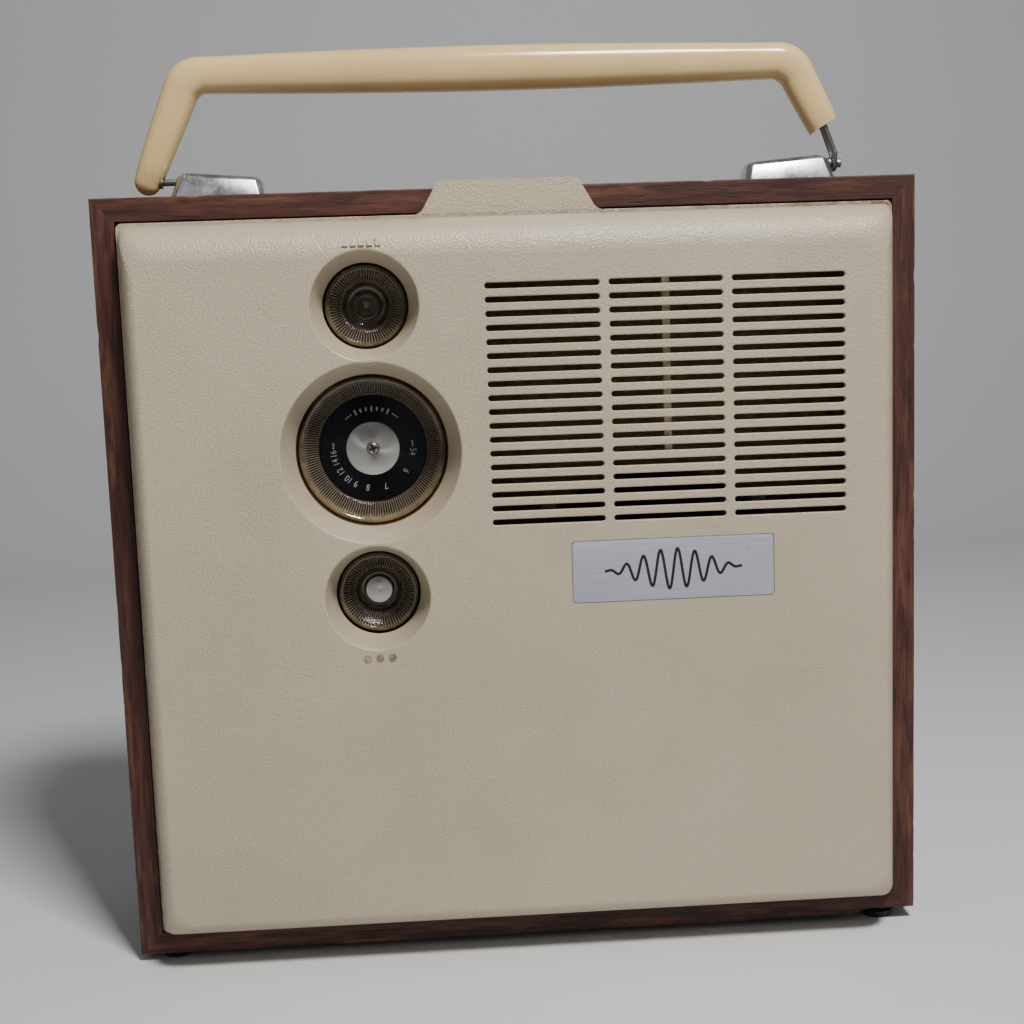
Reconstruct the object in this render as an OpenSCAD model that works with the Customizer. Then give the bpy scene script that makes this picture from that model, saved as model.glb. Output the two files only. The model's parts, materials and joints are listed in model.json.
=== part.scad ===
// Portable tabletop radio in a wood case: drop-front cover, recessed knobs, hinged handle.
// Millimetres. +Z is up, the front faces -Y, and X runs across. The origin is under the middle.

/* [Case] */
// Width of the wood case
case_w = 332; // [320:1:345]
// Height of the wood case, without its feet
case_h = 314; // [305:1:325]
// Depth of the wood case
case_d = 92; // [90:1:100]
// Thickness of the wood boards
board_t = 9.5; // [9:0.5:11]
// Height of the rubber feet
foot_h = 3; // [3:0.5:5]
// Radius of a rubber foot
foot_r = 7; // [5:0.5:9]

/* [Front cover] */
// How far the lip stands out of the wood
lip_proud = 2.3; // [2:0.1:2.6]
// Thickness of the lip
lip_t = 2; // [1.8:0.1:2]
// Height of the crowned panel above the lip
crown_h = 15.3; // [14:0.1:17]
// Wall thickness of the crowned panel
wall = 2.2; // [1.8:0.1:2.6]
// Gap between the cover and the wood all round
cover_gap = 0.8; // [0.6:0.1:1]
// Depth of the rim that reaches into the case
rim_depth = 6.3; // [5:0.1:7]
// Width of the finger tab at its base
tab_base_w = 76; // [70:1:82]
// Width of the finger tab at its top
tab_top_w = 55; // [50:1:60]
// Height of the raised marks
mark_h = 0.4; // [0.3:0.1:0.5]

/* [Knob wells] */
// Sideways place of the column of knobs
knob_x = -58.7; // [-64:0.1:-55]
// Height of the volume knob
volume_z = 271.3; // [268:0.1:275]
// Height of the tuning knob
tuning_z = 213.4; // [211:0.1:216]
// Height of the select knob
select_z = 155; // [152:0.1:158]
// Mouth radius of the tuning well
tuning_mouth_r = 35.7; // [35:0.1:37]
// Inner radius of the tuning well
tuning_well_r = 31; // [31:0.1:32]
// Mouth radius of the small wells
small_mouth_r = 21.2; // [20.5:0.1:22]
// Inner radius of the small wells
small_well_r = 17.2; // [17.2:0.1:18]

/* [Knobs] */
// Radius of the tuning knob
tuning_knob_r = 30.2; // [29:0.1:30.2]
// Radius of the small knobs
small_knob_r = 16.7; // [15.5:0.1:16.7]

/* [Grille and nameplate] */
// Left end of the slots
grille_x = -11.5; // [-13:0.1:-10]
// Height of the lowest row of slots
grille_z = 183.6; // [182:0.1:185]
// Length of a slot
slot_len = 45.5; // [44:0.1:46]
// Height of a slot
slot_h = 2.4; // [2:0.1:2.6]
// Distance between the columns of slots
slot_pitch_x = 49; // [48.5:0.1:49.5]
// Distance between the rows of slots
slot_pitch_z = 5.52; // [5.4:0.01:5.6]
// Number of rows of slots
slot_rows = 18; // [14:1:18]
// Width of the nameplate
plate_w = 82; // [78:1:84]
// Height of the nameplate
plate_h = 25; // [23:1:26]

/* [Handle] */
// Height of the pivot above the case top
pivot_rise = 9.5; // [9.5:0.1:11]
// Distance of the left leg's foot from the middle
left_foot_x = 150.5; // [149:0.1:151]
// Distance of the left corner of the bar from the middle
left_corner_x = 131.5; // [129:0.1:133]
// Distance of the bare steel eye on the right from the middle
eye_x = 145; // [144.8:0.1:146]
// Distance of the right corner of the bar from the middle
right_corner_x = 126; // [124:0.1:130]
// Height of the bar's middle line above the pivot
bar_rise = 43.9; // [42:0.1:46]
// Radius of the bar in its middle
bar_mid_r = 9.4; // [9:0.1:10]
// Radius of the bar at its ends
bar_end_r = 7.5; // [7:0.1:8]
// Radius of the leg at its foot
leg_foot_r = 5.5; // [5.4:0.1:6]
// Radius of the pivot pins
pin_r = 1.4; // [1.3:0.1:1.6]
// Radius of the steel wire in the handle
wire_r = 1.1; // [1:0.1:1.3]
// Running clearance of a shaft or pin, on the radius
run = 0.06; // [0.04:0.01:0.08]

/* [Loudspeaker] */
// Sideways place of the loudspeaker
speaker_x = 58; // [56:1:62]
// Height of the loudspeaker
speaker_z = 141; // [139:1:145]
// Radius of the round opening in the baffle board
speaker_hole_r = 60; // [56:1:62]
// Radius of the loudspeaker's flange
speaker_r = 66; // [64:1:67]

/* [Hidden] */
$fn = 64;

hull_fn = 32;
eps = 0.01;
broken_leg = 31;
cover_proud = lip_proud + crown_h;
total_d = case_d + cover_proud + mark_h;
crown_y = -total_d / 2 + mark_h;
lip_y = crown_y + crown_h;
front_y = crown_y + cover_proud;
rear_y = front_y + case_d;
base_z = foot_h;
top_z = base_z + case_h;
in_x = case_w / 2 - board_t;
in_z0 = base_z + board_t;
in_z1 = top_z - board_t;
mid_z = (in_z0 + in_z1) / 2;

// Front cover
cover_x = in_x - cover_gap;
cover_z0 = in_z0 + cover_gap;
cover_z1 = in_z1 - cover_gap;
lip_w = 1.3;
crown_run_side = 7.5;
crown_run_bottom = 8;
crown_run_top = 16;
crown_foot_r = 3.5;
crown_face_r = 10.5;
well_floor_y = front_y - 3.8;
tab_h = 13;
grille_mid_x = grille_x + slot_pitch_x + slot_len / 2;
plate_x = 61;
plate_z = 162;
plate_recess = 0.8;
volume_mark_z = volume_z + small_mouth_r + 3.3;

// Cover hinges
hinge_y = front_y - 0.3;
hinge_z = in_z0 + 1.6;
hinge_pin_r = 0.7;
knuckle_r = 1.25;
hinge_x = 100;
hinge_len = 30;
knuckle_gap = 0.3;

// Catch
catch_z = in_z1 - 9;

// Inner parts
baffle_y = front_y + 13;
baffle_t = 4;
baffle_back = baffle_y + baffle_t;
cleat = 8;
back_t = 3;
back_y = rear_y - 5;
pivot_y = front_y + case_d / 2;
pivot_z = top_z + pivot_rise;
shaft_r = 3;
gang_depth = 34;

// Knobs: dishes whose rims stand in front of the well floors
tuning_front_y = front_y - 3.2;
tuning_back_y = front_y + 10.4;
dial_y = front_y + 6;
dial_t = 0.8;
cap_t = 0.8;
cap_r = 11;
screw_r = 1.5;
shaft_front_y = front_y + 7.6;
small_front_y = front_y - 3.4;
small_back_y = front_y + 8;
small_dish_y = front_y + 4;
small_shaft_y = front_y + 4.4;
hub_front_y = front_y + 2.9;
hub_r = 5.7;

// Handle mounts. The broken right leg would have ended at right_foot_x.
left_bracket_x = 140.7;
right_bracket_x = 144.5;
bracket_len = 40.5;
pin_depth = 20;
pin_head_r = 1.9;
pin_head_t = 1.6;
left_collar_x = 143.9;
left_collar_t = 2.1;
right_collar_x = 142.4;
right_collar_t = 1.2;
collar_r = 2.5;
right_foot_x = 148.7;
broken_end_r = 6.6;
function handle_point(x, rise) = [x, pivot_y, pivot_z + rise];
left_corner = handle_point(left_corner_x, bar_rise);
left_foot = handle_point(left_foot_x, 0);
right_corner = handle_point(right_corner_x, bar_rise);
right_foot = handle_point(right_foot_x, 0);
right_leg_dir = (right_foot - right_corner) / norm(right_foot - right_corner);

// Tuning capacitor
gang_y0 = baffle_back + 2;
gang_y1 = gang_y0 + gang_depth;
plate_pitch = 4;
plate_t = 0.8;
rotor_r = 15;

// Loudspeaker and wires
cone_r = 57.9;
wire_insulation_r = 0.8;

// Battery tray
tray_x0 = -146;
tray_x1 = -14;
cell_mid_x = (tray_x0 + tray_x1) / 2;
tray_z0 = 24;
tray_z1 = 129;
tray_wall = 2;
cell_r = 16.5;
cell_len = 60;
row_pitch = 34.1;

// Circuit board
pcb_x0 = -18;
pcb_x1 = 140;
pcb_z0 = 214;
pcb_z1 = 296;
pcb_y = baffle_back + 14;
pcb_t = 1.6;

// Extrudes an outline drawn in X and Z from depth y0 back to y1.
module slab(y0, y1) {
    translate([0, y1, 0])
        rotate([90, 0, 0])
            linear_extrude(y1 - y0)
                children();
}

// A round bar along Y.
module rod_y(r, y0, y1) {
    translate([0, y0, 0])
        rotate([-90, 0, 0])
            cylinder(r = r, h = y1 - y0);
}

// A round bar along X.
module rod_x(r, x0, x1) {
    translate([x0, 0, 0])
        rotate([0, 90, 0])
            cylinder(r = r, h = x1 - x0);
}

// A round bar along Y whose radius changes from r0 to r1.
module taper_y(r0, r1, y0, y1) {
    translate([0, y0, 0])
        rotate([-90, 0, 0])
            cylinder(r1 = r0, r2 = r1, h = y1 - y0);
}

// A ring along Y.
module ring_y(r_out, r_in, y0, y1) {
    difference() {
        rod_y(r_out, y0, y1);
        rod_y(r_in, y0 - 1, y1 + 1);
    }
}

// A box from one corner to the opposite corner.
module block(a, b) {
    translate(a)
        cube(b - a);
}

// A round bar from point a to point b.
module bar(a, b, r0, r1) {
    d = b - a;
    length = norm(d);
    translate(a)
        rotate([0, acos(d[2] / length), atan2(d[1], d[0])])
            cylinder(r1 = r0, r2 = r1, h = length);
}

// A round rod through a list of points. The elbows are a little fuller than the rod.
module bent_rod(points, r) {
    for (i = [0 : len(points) - 2])
        bar(points[i], points[i + 1], r, r);
    for (i = [1 : len(points) - 2])
        translate(points[i])
            sphere(r = r * 1.04);
}

// One ring of a tube: sides points around p, square to direction d.
function tube_ring(p, d, r, sides) =
    let (
        along = d / norm(d),
        aside = cross(along, [0, 0.2, 1]),
        u = aside / norm(aside),
        v = cross(along, u)
    )
    [for (i = [0 : sides - 1]) p + r * (u * cos(360 * i / sides) + v * sin(360 * i / sides))];

// A thin flexible wire swept along a list of points.
module wire(points, r) {
    sides = 8;
    last = len(points) - 1;
    rings = [for (i = [0 : last])
        each tube_ring(points[i], points[min(i + 1, last)] - points[max(i - 1, 0)], r, sides)];
    walls = [for (i = [0 : last - 1]) for (j = [0 : sides - 1])
        let (k = (j + 1) % sides, low = i * sides, high = low + sides)
        each [[low + j, low + k, high + k], [low + j, high + k, high + j]]];
    start_cap = [for (j = [sides - 1 : -1 : 0]) j];
    end_cap = [for (j = [0 : sides - 1]) last * sides + j];
    polyhedron(points = rings, faces = concat([start_cap, end_cap], walls), convexity = 4);
}

// A pan-head screw along Y whose head is in front at depth y and whose shank goes back.
module screw_y(y, shank) {
    rod_y(3, y - 1.6, y);
    rod_y(1.5, y - eps, y + shank);
}

// ---- Case ----

module long_board(z_out, z_in) {
    slab(front_y, rear_y)
        polygon([[-case_w / 2, z_out], [case_w / 2, z_out], [in_x, z_in], [-in_x, z_in]]);
}

module bracket_screw_places() {
    at_left_bracket()
        bracket_holes()
            children();
    at_right_bracket()
        bracket_holes()
            children();
}

module top_board() {
    color("saddlebrown")
        difference() {
            long_board(top_z, in_z1);
            bracket_screw_places()
                translate([0, 0, in_z1 - 1])
                    cylinder(r = 2, h = board_t + 2);
        }
}

module bottom_board() {
    color("saddlebrown")
        long_board(base_z, in_z0);
}

module side_board(side) {
    color("sienna")
        slab(front_y, rear_y)
            polygon([
                [side * case_w / 2, base_z], [side * in_x, in_z0],
                [side * in_x, in_z1], [side * case_w / 2, top_z],
            ]);
}

module corner_blocks() {
    block_leg = 20;
    color("burlywood")
        for (side = [-1, 1])
            for (end = [[in_z0, 1], [in_z1, -1]])
                slab(back_y - 20, back_y)
                    polygon([
                        [side * in_x, end[0]],
                        [side * (in_x - block_leg), end[0]],
                        [side * in_x, end[0] + end[1] * block_leg],
                    ]);
}

module back_screw_places() {
    for (x = [-1, 1])
        for (z = [in_z0 + 7, in_z1 - 7])
            translate([x * (in_x - 7), 0, z])
                children();
}

module back_cover() {
    vent_rows = 9;
    color("peru")
        difference() {
            block([-in_x, back_y, in_z0], [in_x, back_y + back_t, in_z1]);
            for (i = [0 : vent_rows - 1])
                for (x = [-90, 0, 90])
                    block([x - 30, back_y - 1, 200 + i * 9], [x + 30, back_y + back_t + 1, 203 + i * 9]);
            back_screw_places()
                rod_y(1.5, back_y - 1, back_y + back_t + 1);
        }
}

module back_cover_screws() {
    color("silver")
        back_screw_places() {
            rod_y(1.5, back_y, back_y + back_t);
            rod_y(3, back_y + back_t, back_y + back_t + 1.6);
        }
}

module rubber_feet() {
    color("dimgray")
        for (x = [-1, 1])
            for (y = [front_y + 9, rear_y - 9])
                translate([x * (case_w / 2 - 14), y, 0])
                    cylinder(r1 = foot_r - 1, r2 = foot_r, h = foot_h);
}

// ---- Baffle ----

module speaker_screw_places() {
    for (a = [45 : 90 : 315])
        translate([speaker_x + 63 * cos(a), 0, speaker_z + 63 * sin(a)])
            children();
}

module baffle_screw_places() {
    for (x = [-1, 1])
        for (z = [in_z0 + 40, mid_z + 20, in_z1 - 12])
            translate([x * (in_x - cleat / 2), 0, z])
                children();
}

module baffle_board() {
    color("olivedrab")
        difference() {
            block([-in_x, baffle_y, in_z0], [in_x, baffle_back, in_z1]);
            translate([speaker_x, 0, speaker_z])
                rod_y(speaker_hole_r, baffle_y - 1, baffle_back + 1);
            block([tray_x0, baffle_y - 1, tray_z0], [tray_x1, baffle_back + 1, tray_z1]);
            for (z = [volume_z, tuning_z, select_z])
                translate([knob_x, 0, z])
                    rod_y(5, baffle_y - 1, baffle_back + 1);
            speaker_screw_places()
                rod_y(1.5, baffle_y - 1, baffle_back + 1);
            baffle_screw_places()
                rod_y(1.5, baffle_y - 1, baffle_back + 1);
            standoff_places()
                rod_y(1.5, baffle_y - 1, baffle_back + 1);
        }
}

module baffle_cleats() {
    end = baffle_back + 12;
    color("tan") {
        for (side = [0, 1])
            mirror([side, 0, 0])
                difference() {
                    block([in_x - cleat, baffle_back, in_z0], [in_x, end, in_z1]);
                    for (z = [in_z0 + 40, mid_z + 20, in_z1 - 12])
                        translate([in_x - cleat / 2, 0, z])
                            rod_y(1.5, baffle_back - 1, baffle_back + 8);
                }
        block([-in_x + cleat, baffle_back, in_z0], [in_x - cleat, end, in_z0 + cleat]);
        block([-in_x + cleat, baffle_back, in_z1 - cleat], [-20, end, in_z1]);
        block([20, baffle_back, in_z1 - cleat], [in_x - cleat, end, in_z1]);
    }
}

module baffle_screws() {
    color("gray") {
        baffle_screw_places()
            screw_y(baffle_y, baffle_t + 8);
        speaker_screw_places()
            screw_y(baffle_y, baffle_t + 1.2);
    }
}

// ---- Handle mounts ----

// A wedge that is centred on Y, with the foot of its pivot end at x = 0. Its four upright
// edges are cut off.
module handle_bracket() {
    half_base = 10;
    half_top = 6.5;
    nip = 2;
    difference() {
        intersection() {
            slab(-half_base, half_base)
                polygon([
                    [0, top_z], [-4.3, top_z + 13],
                    [2.3 - bracket_len, top_z + 10.8], [-bracket_len, top_z],
                ]);
            translate([-bracket_len - 1, 0, 0])
                rotate([90, 0, 90])
                    linear_extrude(bracket_len + 2)
                        polygon([
                            [-half_base, top_z], [half_base, top_z],
                            [half_top, top_z + 14], [-half_top, top_z + 14],
                        ]);
            translate([0, 0, top_z])
                linear_extrude(15)
                    polygon([
                        [0, nip - half_base], [0, half_base - nip],
                        [-nip, half_base], [nip - bracket_len, half_base],
                        [-bracket_len, half_base - nip], [-bracket_len, nip - half_base],
                        [nip - bracket_len, -half_base], [-nip, -half_base],
                    ]);
        }
        translate([0, 0, pivot_z])
            rod_x(pin_r, -pin_depth, 1);
        bracket_holes()
            translate([0, 0, top_z - 1])
                cylinder(r = 1.75, h = 6);
    }
}

module bracket_holes() {
    for (x = [-32, -8])
        translate([x, 0, 0])
            children();
}

module at_left_bracket() {
    translate([-left_bracket_x, pivot_y, 0])
        mirror([1, 0, 0])
            children();
}

module at_right_bracket() {
    translate([right_bracket_x, pivot_y, 0])
        children();
}

module left_handle_bracket() {
    color("silver")
        at_left_bracket()
            handle_bracket();
}

module right_handle_bracket() {
    color("silver")
        at_right_bracket()
            handle_bracket();
}

module handle_bracket_screws() {
    color("gray")
        bracket_screw_places() {
            translate([0, 0, in_z1 - 2])
                cylinder(r = 3.2, h = 2);
            translate([0, 0, in_z1 - eps])
                cylinder(r = 1.75, h = board_t + 5);
        }
}

module pivot_pin(x0, x1) {
    translate([0, pivot_y, pivot_z]) {
        rod_x(pin_r, x0, x1);
        rod_x(pin_head_r, x1, x1 + pin_head_t);
    }
}

module handle_pivot_pins() {
    beyond = wire_r + 0.3;
    color("lightgray") {
        mirror([1, 0, 0])
            pivot_pin(left_bracket_x - pin_depth, left_foot_x + beyond);
        pivot_pin(right_bracket_x - pin_depth, eye_x + beyond);
    }
}

module handle_collar(x, length) {
    translate([x, pivot_y, pivot_z])
        difference() {
            rod_x(collar_r, 0, length);
            rod_x(pin_r, -1, length + 1);
        }
}

module handle_collars() {
    color("gray") {
        mirror([1, 0, 0])
            handle_collar(left_collar_x, left_collar_t);
        handle_collar(right_collar_x, right_collar_t);
    }
}

// ---- Cover hinges and catch ----

module hinge_places() {
    for (x = [-hinge_x, hinge_x])
        translate([x, hinge_y, hinge_z])
            children();
}

module case_hinge_leaves() {
    third = hinge_len / 3;
    color("gold")
        hinge_places()
            difference() {
                union() {
                    for (x = [-hinge_len / 2, hinge_len / 2 - third + knuckle_gap])
                        rod_x(knuckle_r, x, x + third - knuckle_gap);
                    for (x = [-hinge_len / 2, hinge_len / 2 - third + knuckle_gap])
                        block([x, 0, in_z0 - hinge_z], [x + third - knuckle_gap, 4, in_z0 - hinge_z + 0.8]);
                    block([-hinge_len / 2, 3, in_z0 - hinge_z], [hinge_len / 2, 13, in_z0 - hinge_z + 0.8]);
                }
                rod_x(hinge_pin_r, -hinge_len, hinge_len);
                for (x = [-10, 10])
                    translate([x, 10, -5])
                        cylinder(r = 1.2, h = 10);
            }
}

module hinge_pins() {
    color("silver")
        hinge_places()
            rod_x(hinge_pin_r, -hinge_len / 2, hinge_len / 2);
}

module case_hinge_screws() {
    color("gray")
        hinge_places()
            for (x = [-10, 10])
                translate([x, 10, in_z0 - hinge_z]) {
                    cylinder(r = 1.2, h = 0.8 + eps);
                    translate([0, 0, 0.8])
                        cylinder(r = 2.2, h = 0.9);
                }
}

module cover_hinge_leaves() {
    third = hinge_len / 3;
    color("goldenrod")
        hinge_places()
            difference() {
                union() {
                    rod_x(knuckle_r, -third / 2, third / 2);
                    block([-third / 2, 0.45, 0], [third / 2, knuckle_r, 3]);
                    block([-hinge_len / 2, 0.45, 1.8], [hinge_len / 2, knuckle_r, 12]);
                }
                rod_x(hinge_pin_r + run, -hinge_len, hinge_len);
                for (x = [-10, 10])
                    translate([x, 0, 8])
                        rod_y(1.2, -2, 4);
            }
}

module cover_hinge_screws() {
    color("gray")
        hinge_places()
            for (x = [-10, 10])
                translate([x, 0, 8]) {
                    rod_y(1.2, -2.5, knuckle_r + eps);
                    rod_y(2.2, knuckle_r, knuckle_r + 1);
                }
}

module catch_clip() {
    front = front_y + 7.5;
    color("silver") {
        block([-9, front, in_z1 - 0.8], [9, baffle_y, in_z1]);
        block([-9, baffle_y - 0.8, catch_z - 3], [9, baffle_y, in_z1]);
        block([-7, front, catch_z - 3], [7, baffle_y, catch_z - 2.2]);
        block([-7, front, catch_z + 1.4], [7, baffle_y, catch_z + 2.2]);
    }
}

module catch_strike() {
    back = lip_y + lip_t;
    color("silver") {
        block([-6, back, catch_z - 0.6], [6, baffle_y - 2, catch_z + 0.6]);
        block([-6, back, catch_z - 0.6], [6, back + 1.2, cover_z1 - 2]);
    }
}

// ---- Loudspeaker ----

module at_speaker() {
    translate([speaker_x, 0, speaker_z])
        children();
}

module speaker_basket() {
    back = baffle_back + 32;
    color("dimgray")
        at_speaker()
            difference() {
                union() {
                    rod_y(speaker_r, baffle_back, baffle_back + 1.2);
                    taper_y(61, 26, baffle_back + 1.2, back);
                    rod_y(26, back - eps, back + 2);
                }
                taper_y(60.5, 24.6, baffle_back - 1, back);
                rod_y(14, back - 2, back + 3);
                for (a = [45 : 90 : 315])
                    translate([63 * cos(a), 0, 63 * sin(a)])
                        rod_y(1.5, baffle_back - 1, baffle_back + 3);
                for (a = [0 : 90 : 270])
                    rotate([0, a, 0])
                        block([26, baffle_back + 6, -16], [70, back - 6, 16]);
            }
}

module speaker_cone() {
    color("black")
        at_speaker()
            difference() {
                union() {
                    rod_y(cone_r, baffle_back, baffle_back + 1.2);
                    taper_y(52, 14, baffle_back + 1, baffle_back + 22);
                }
                taper_y(51.2, 13.2, baffle_back, baffle_back + 21.2);
                ring_y(cone_r - 1.8, 53, baffle_back - 1, baffle_back + 0.6);
            }
}

module speaker_dust_cap() {
    color("darkslategray")
        at_speaker()
            intersection() {
                translate([0, baffle_back + 21.2, 0])
                    sphere(r = 13);
                rod_y(13, baffle_back + 10, baffle_back + 21.2);
            }
}

module speaker_magnet() {
    back = baffle_back + 34;
    color("gray")
        at_speaker() {
            rod_y(25, back, back + 10);
            rod_y(22, back + 10, back + 13);
            rod_y(12, baffle_back + 22, back + eps);
        }
}

// ---- Circuit board ----

module standoff_places() {
    for (x = [pcb_x0 + 6, pcb_x1 - 6])
        for (z = [pcb_z0 + 6, pcb_z1 - 6])
            translate([x, 0, z])
                children();
}

module circuit_board() {
    color("darkkhaki")
        difference() {
            block([pcb_x0, pcb_y, pcb_z0], [pcb_x1, pcb_y + pcb_t, pcb_z1]);
            standoff_places()
                rod_y(1.5, pcb_y - 1, pcb_y + 3);
        }
}

module board_standoffs() {
    color("silver")
        standoff_places()
            difference() {
                rod_y(3, baffle_back, pcb_y);
                rod_y(1.5, baffle_back - 1, pcb_y + 1);
            }
}

module if_cans() {
    back = pcb_y + pcb_t;
    color("silver")
        for (i = [0 : 3])
            block([2 + i * 26, back, pcb_z1 - 30], [12 + i * 26, back + 13, pcb_z1 - 20]);
}

module transistors() {
    back = pcb_y + pcb_t;
    color("black")
        for (i = [0 : 5])
            translate([0 + i * 24, 0, pcb_z1 - 44]) {
                rod_y(3, back + 3, back + 11);
                rod_y(3.6, back + 2, back + 3 + eps);
                for (a = [0 : 120 : 240])
                    rotate([0, a, 0])
                        translate([1.6, 0, 0])
                            rod_y(0.4, back, back + 2 + eps);
            }
}

module electrolytic_capacitors() {
    back = pcb_y + pcb_t;
    color("royalblue")
        for (i = [0 : 4])
            translate([-6 + i * 15, back + 5, pcb_z0 + 14])
                cylinder(r = 5, h = 18);
}

module transformers() {
    back = pcb_y + pcb_t;
    color("orangered")
        for (x = [76, 104]) {
            block([x, back, pcb_z0 + 8], [x + 20, back + 6, pcb_z0 + 24]);
            block([x + 3, back + 6, pcb_z0 + 11], [x + 17, back + 16, pcb_z0 + 21]);
        }
}

module ferrite_rod() {
    color("darkslategray")
        translate([0, back_y - 22, in_z1 - 16])
            rod_x(5, -110, 70);
}

module antenna_coil() {
    color("chocolate")
        translate([0, back_y - 22, in_z1 - 16])
            difference() {
                rod_x(6.5, -75, -35);
                rod_x(5, -76, -34);
            }
}

module antenna_holders() {
    color("ivory")
        for (x = [-100, 55])
            difference() {
                block([x, back_y - 29, in_z1 - 23], [x + 6, back_y - 15, in_z1]);
                translate([0, back_y - 22, in_z1 - 16])
                    rod_x(5, x - 1, x + 7);
            }
}

// ---- Controls ----

module at_knob(z) {
    translate([knob_x, 0, z])
        children();
}

module tuning_frame() {
    color("lightsteelblue")
        at_knob(tuning_z)
            difference() {
                union() {
                    block([-20, gang_y0, -19], [20, gang_y0 + 2, 21]);
                    block([-20, gang_y1 - 2, -19], [20, gang_y1, 21]);
                    block([-20, gang_y0, 19], [20, gang_y1, 21]);
                    rod_y(5, baffle_y - 2, gang_y0 + eps);
                }
                rod_y(shaft_r + run, baffle_y - 3, gang_y1 + 1);
            }
}

module tuning_stator() {
    color("gainsboro")
        at_knob(tuning_z) {
            for (i = [0 : 5])
                slab(gang_y0 + 5 + i * plate_pitch, gang_y0 + 5 + i * plate_pitch + plate_t)
                    difference() {
                        translate([0, 5.5])
                            square([18, 11]);
                        circle(r = 5);
                    }
            block([15.6, gang_y0 + 2, 6], [17.6, gang_y1 - 2, 8]);
        }
}

module tuning_rotor() {
    color("lightgray")
        at_knob(tuning_z) {
            difference() {
                rod_y(shaft_r, shaft_front_y, gang_y1 + 1);
                rod_y(screw_r, shaft_front_y - 1, shaft_front_y + 6);
            }
            for (i = [0 : 4])
                slab(gang_y0 + 7 + i * plate_pitch, gang_y0 + 7 + i * plate_pitch + plate_t)
                    intersection() {
                        circle(r = rotor_r);
                        translate([-rotor_r, 0])
                            square([2 * rotor_r, rotor_r]);
                    }
        }
}

module round_control(z, body_r, depth) {
    at_knob(z)
        difference() {
            union() {
                rod_y(body_r, baffle_back, baffle_back + depth);
                rod_y(5, baffle_y - 2, baffle_back + eps);
            }
            rod_y(shaft_r + run, baffle_y - 3, baffle_back + depth - 2);
        }
}

module volume_control() {
    color("slategray")
        round_control(volume_z, 11, 13);
}

module select_switch() {
    color("tan") {
        round_control(select_z, 15, 3);
        at_knob(select_z)
            for (x = [-10, 10])
                translate([x, 0, 0])
                    rod_y(2, baffle_back + 3 - eps, baffle_back + 18);
        at_knob(select_z)
            rod_y(15, baffle_back + 12, baffle_back + 14);
    }
}

module control_nuts() {
    color("gold")
        for (z = [volume_z, tuning_z, select_z])
            at_knob(z)
                difference() {
                    translate([0, baffle_y - 1.8, 0])
                        rotate([-90, 0, 0])
                            cylinder(r = 7, h = 1.8, $fn = 6);
                    rod_y(5, baffle_y - 3, baffle_y + 1);
                }
}

// ---- Battery ----

module battery_tray() {
    depth = 2 * cell_r + 3;
    color("darkolivegreen")
        difference() {
            block([tray_x0, baffle_y - 1, tray_z0], [tray_x1, baffle_y + depth, tray_z1]);
            for (row = [0 : 2])
                block([tray_x0 + tray_wall, baffle_y - 2, tray_z0 + 2 + row * row_pitch],
                      [tray_x1 - tray_wall, baffle_y + depth - tray_wall, tray_z0 + 34.8 + row * row_pitch]);
        }
}

module battery_cells() {
    color("slateblue")
        for (row = [0 : 2])
            for (side = [-1, 1])
                translate([
                    cell_mid_x + side * (cell_len / 2 + 0.8),
                    baffle_y + cell_r,
                    tray_z0 + 18.4 + row * row_pitch,
                ]) {
                    rod_x(cell_r - 0.3, -cell_len / 2, cell_len / 2 - 1.5);
                    rod_x(4.5, cell_len / 2 - 1.5 - eps, cell_len / 2);
                }
}

module battery_springs() {
    color("silver")
        for (row = [0 : 2])
            translate([tray_x0 + tray_wall, baffle_y + cell_r, tray_z0 + 18.4 + row * row_pitch]) {
                rod_x(7, 0, 0.8);
                for (turn = [0 : 2])
                    translate([1.2 + turn * 0.7, 0, 0])
                        rotate([0, 90, 0])
                            rotate_extrude()
                                translate([6 - turn * 0.4, 0])
                                    circle(r = 0.5);
                translate([tray_x1 - tray_x0 - 2 * tray_wall - 0.8, 0, 0])
                    rod_x(7, 0, 0.8);
            }
}

// ---- Wires ----

module hookup_wires() {
    terminal_y = baffle_back + 18;
    tray_back = baffle_y + 2 * cell_r + 3;
    color("red")
        for (i = [0, 1])
            wire([
                [84 + 6 * i, terminal_y, 206],
                [84 + 6 * i, terminal_y + 6, 210],
                [84 + 6 * i, pcb_y + 9, 211],
                [84 + 6 * i, pcb_y + 8, 217],
                [84 + 6 * i, pcb_y + 5, 220],
                [84 + 6 * i, pcb_y + pcb_t, 220],
            ], wire_insulation_r);
    color("orange")
        for (i = [0, 1])
            wire([
                [-30 + 5 * i, tray_back, 120],
                [-30 + 5 * i, tray_back + 3, 120],
                [-30 + 5 * i, tray_back + 5, 126],
                [-26 + 5 * i, tray_back + 5, 205],
                [-14 + 5 * i, pcb_y + 12, 219],
                [-12 + 5 * i, pcb_y + 8, 222],
                [-12 + 5 * i, pcb_y + pcb_t, 222],
            ], wire_insulation_r);
}

// ---- Front cover ----

// The crowned form: rounded rectangles that shrink along a quarter ellipse.
module crown(shrink) {
    steps = 5;
    hull()
        for (i = [0 : steps]) {
            out = sin(90 * i / steps);
            in = 1 - cos(90 * i / steps);
            r = crown_foot_r + (crown_face_r - crown_foot_r) * in;
            y = lip_y - (crown_h - shrink) * out;
            x = cover_x - lip_w - shrink - (crown_run_side - shrink) * in - r;
            low = cover_z0 + lip_w + shrink + (crown_run_bottom - shrink) * in + r;
            high = cover_z1 - lip_w - shrink - (crown_run_top - shrink) * in - r;
            for (side = [-1, 1])
                for (z = [low, high])
                    translate([side * x, y, z])
                        rotate([-90, 0, 0])
                            cylinder(r = r, h = lip_t + shrink, $fn = hull_fn);
        }
}

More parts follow.
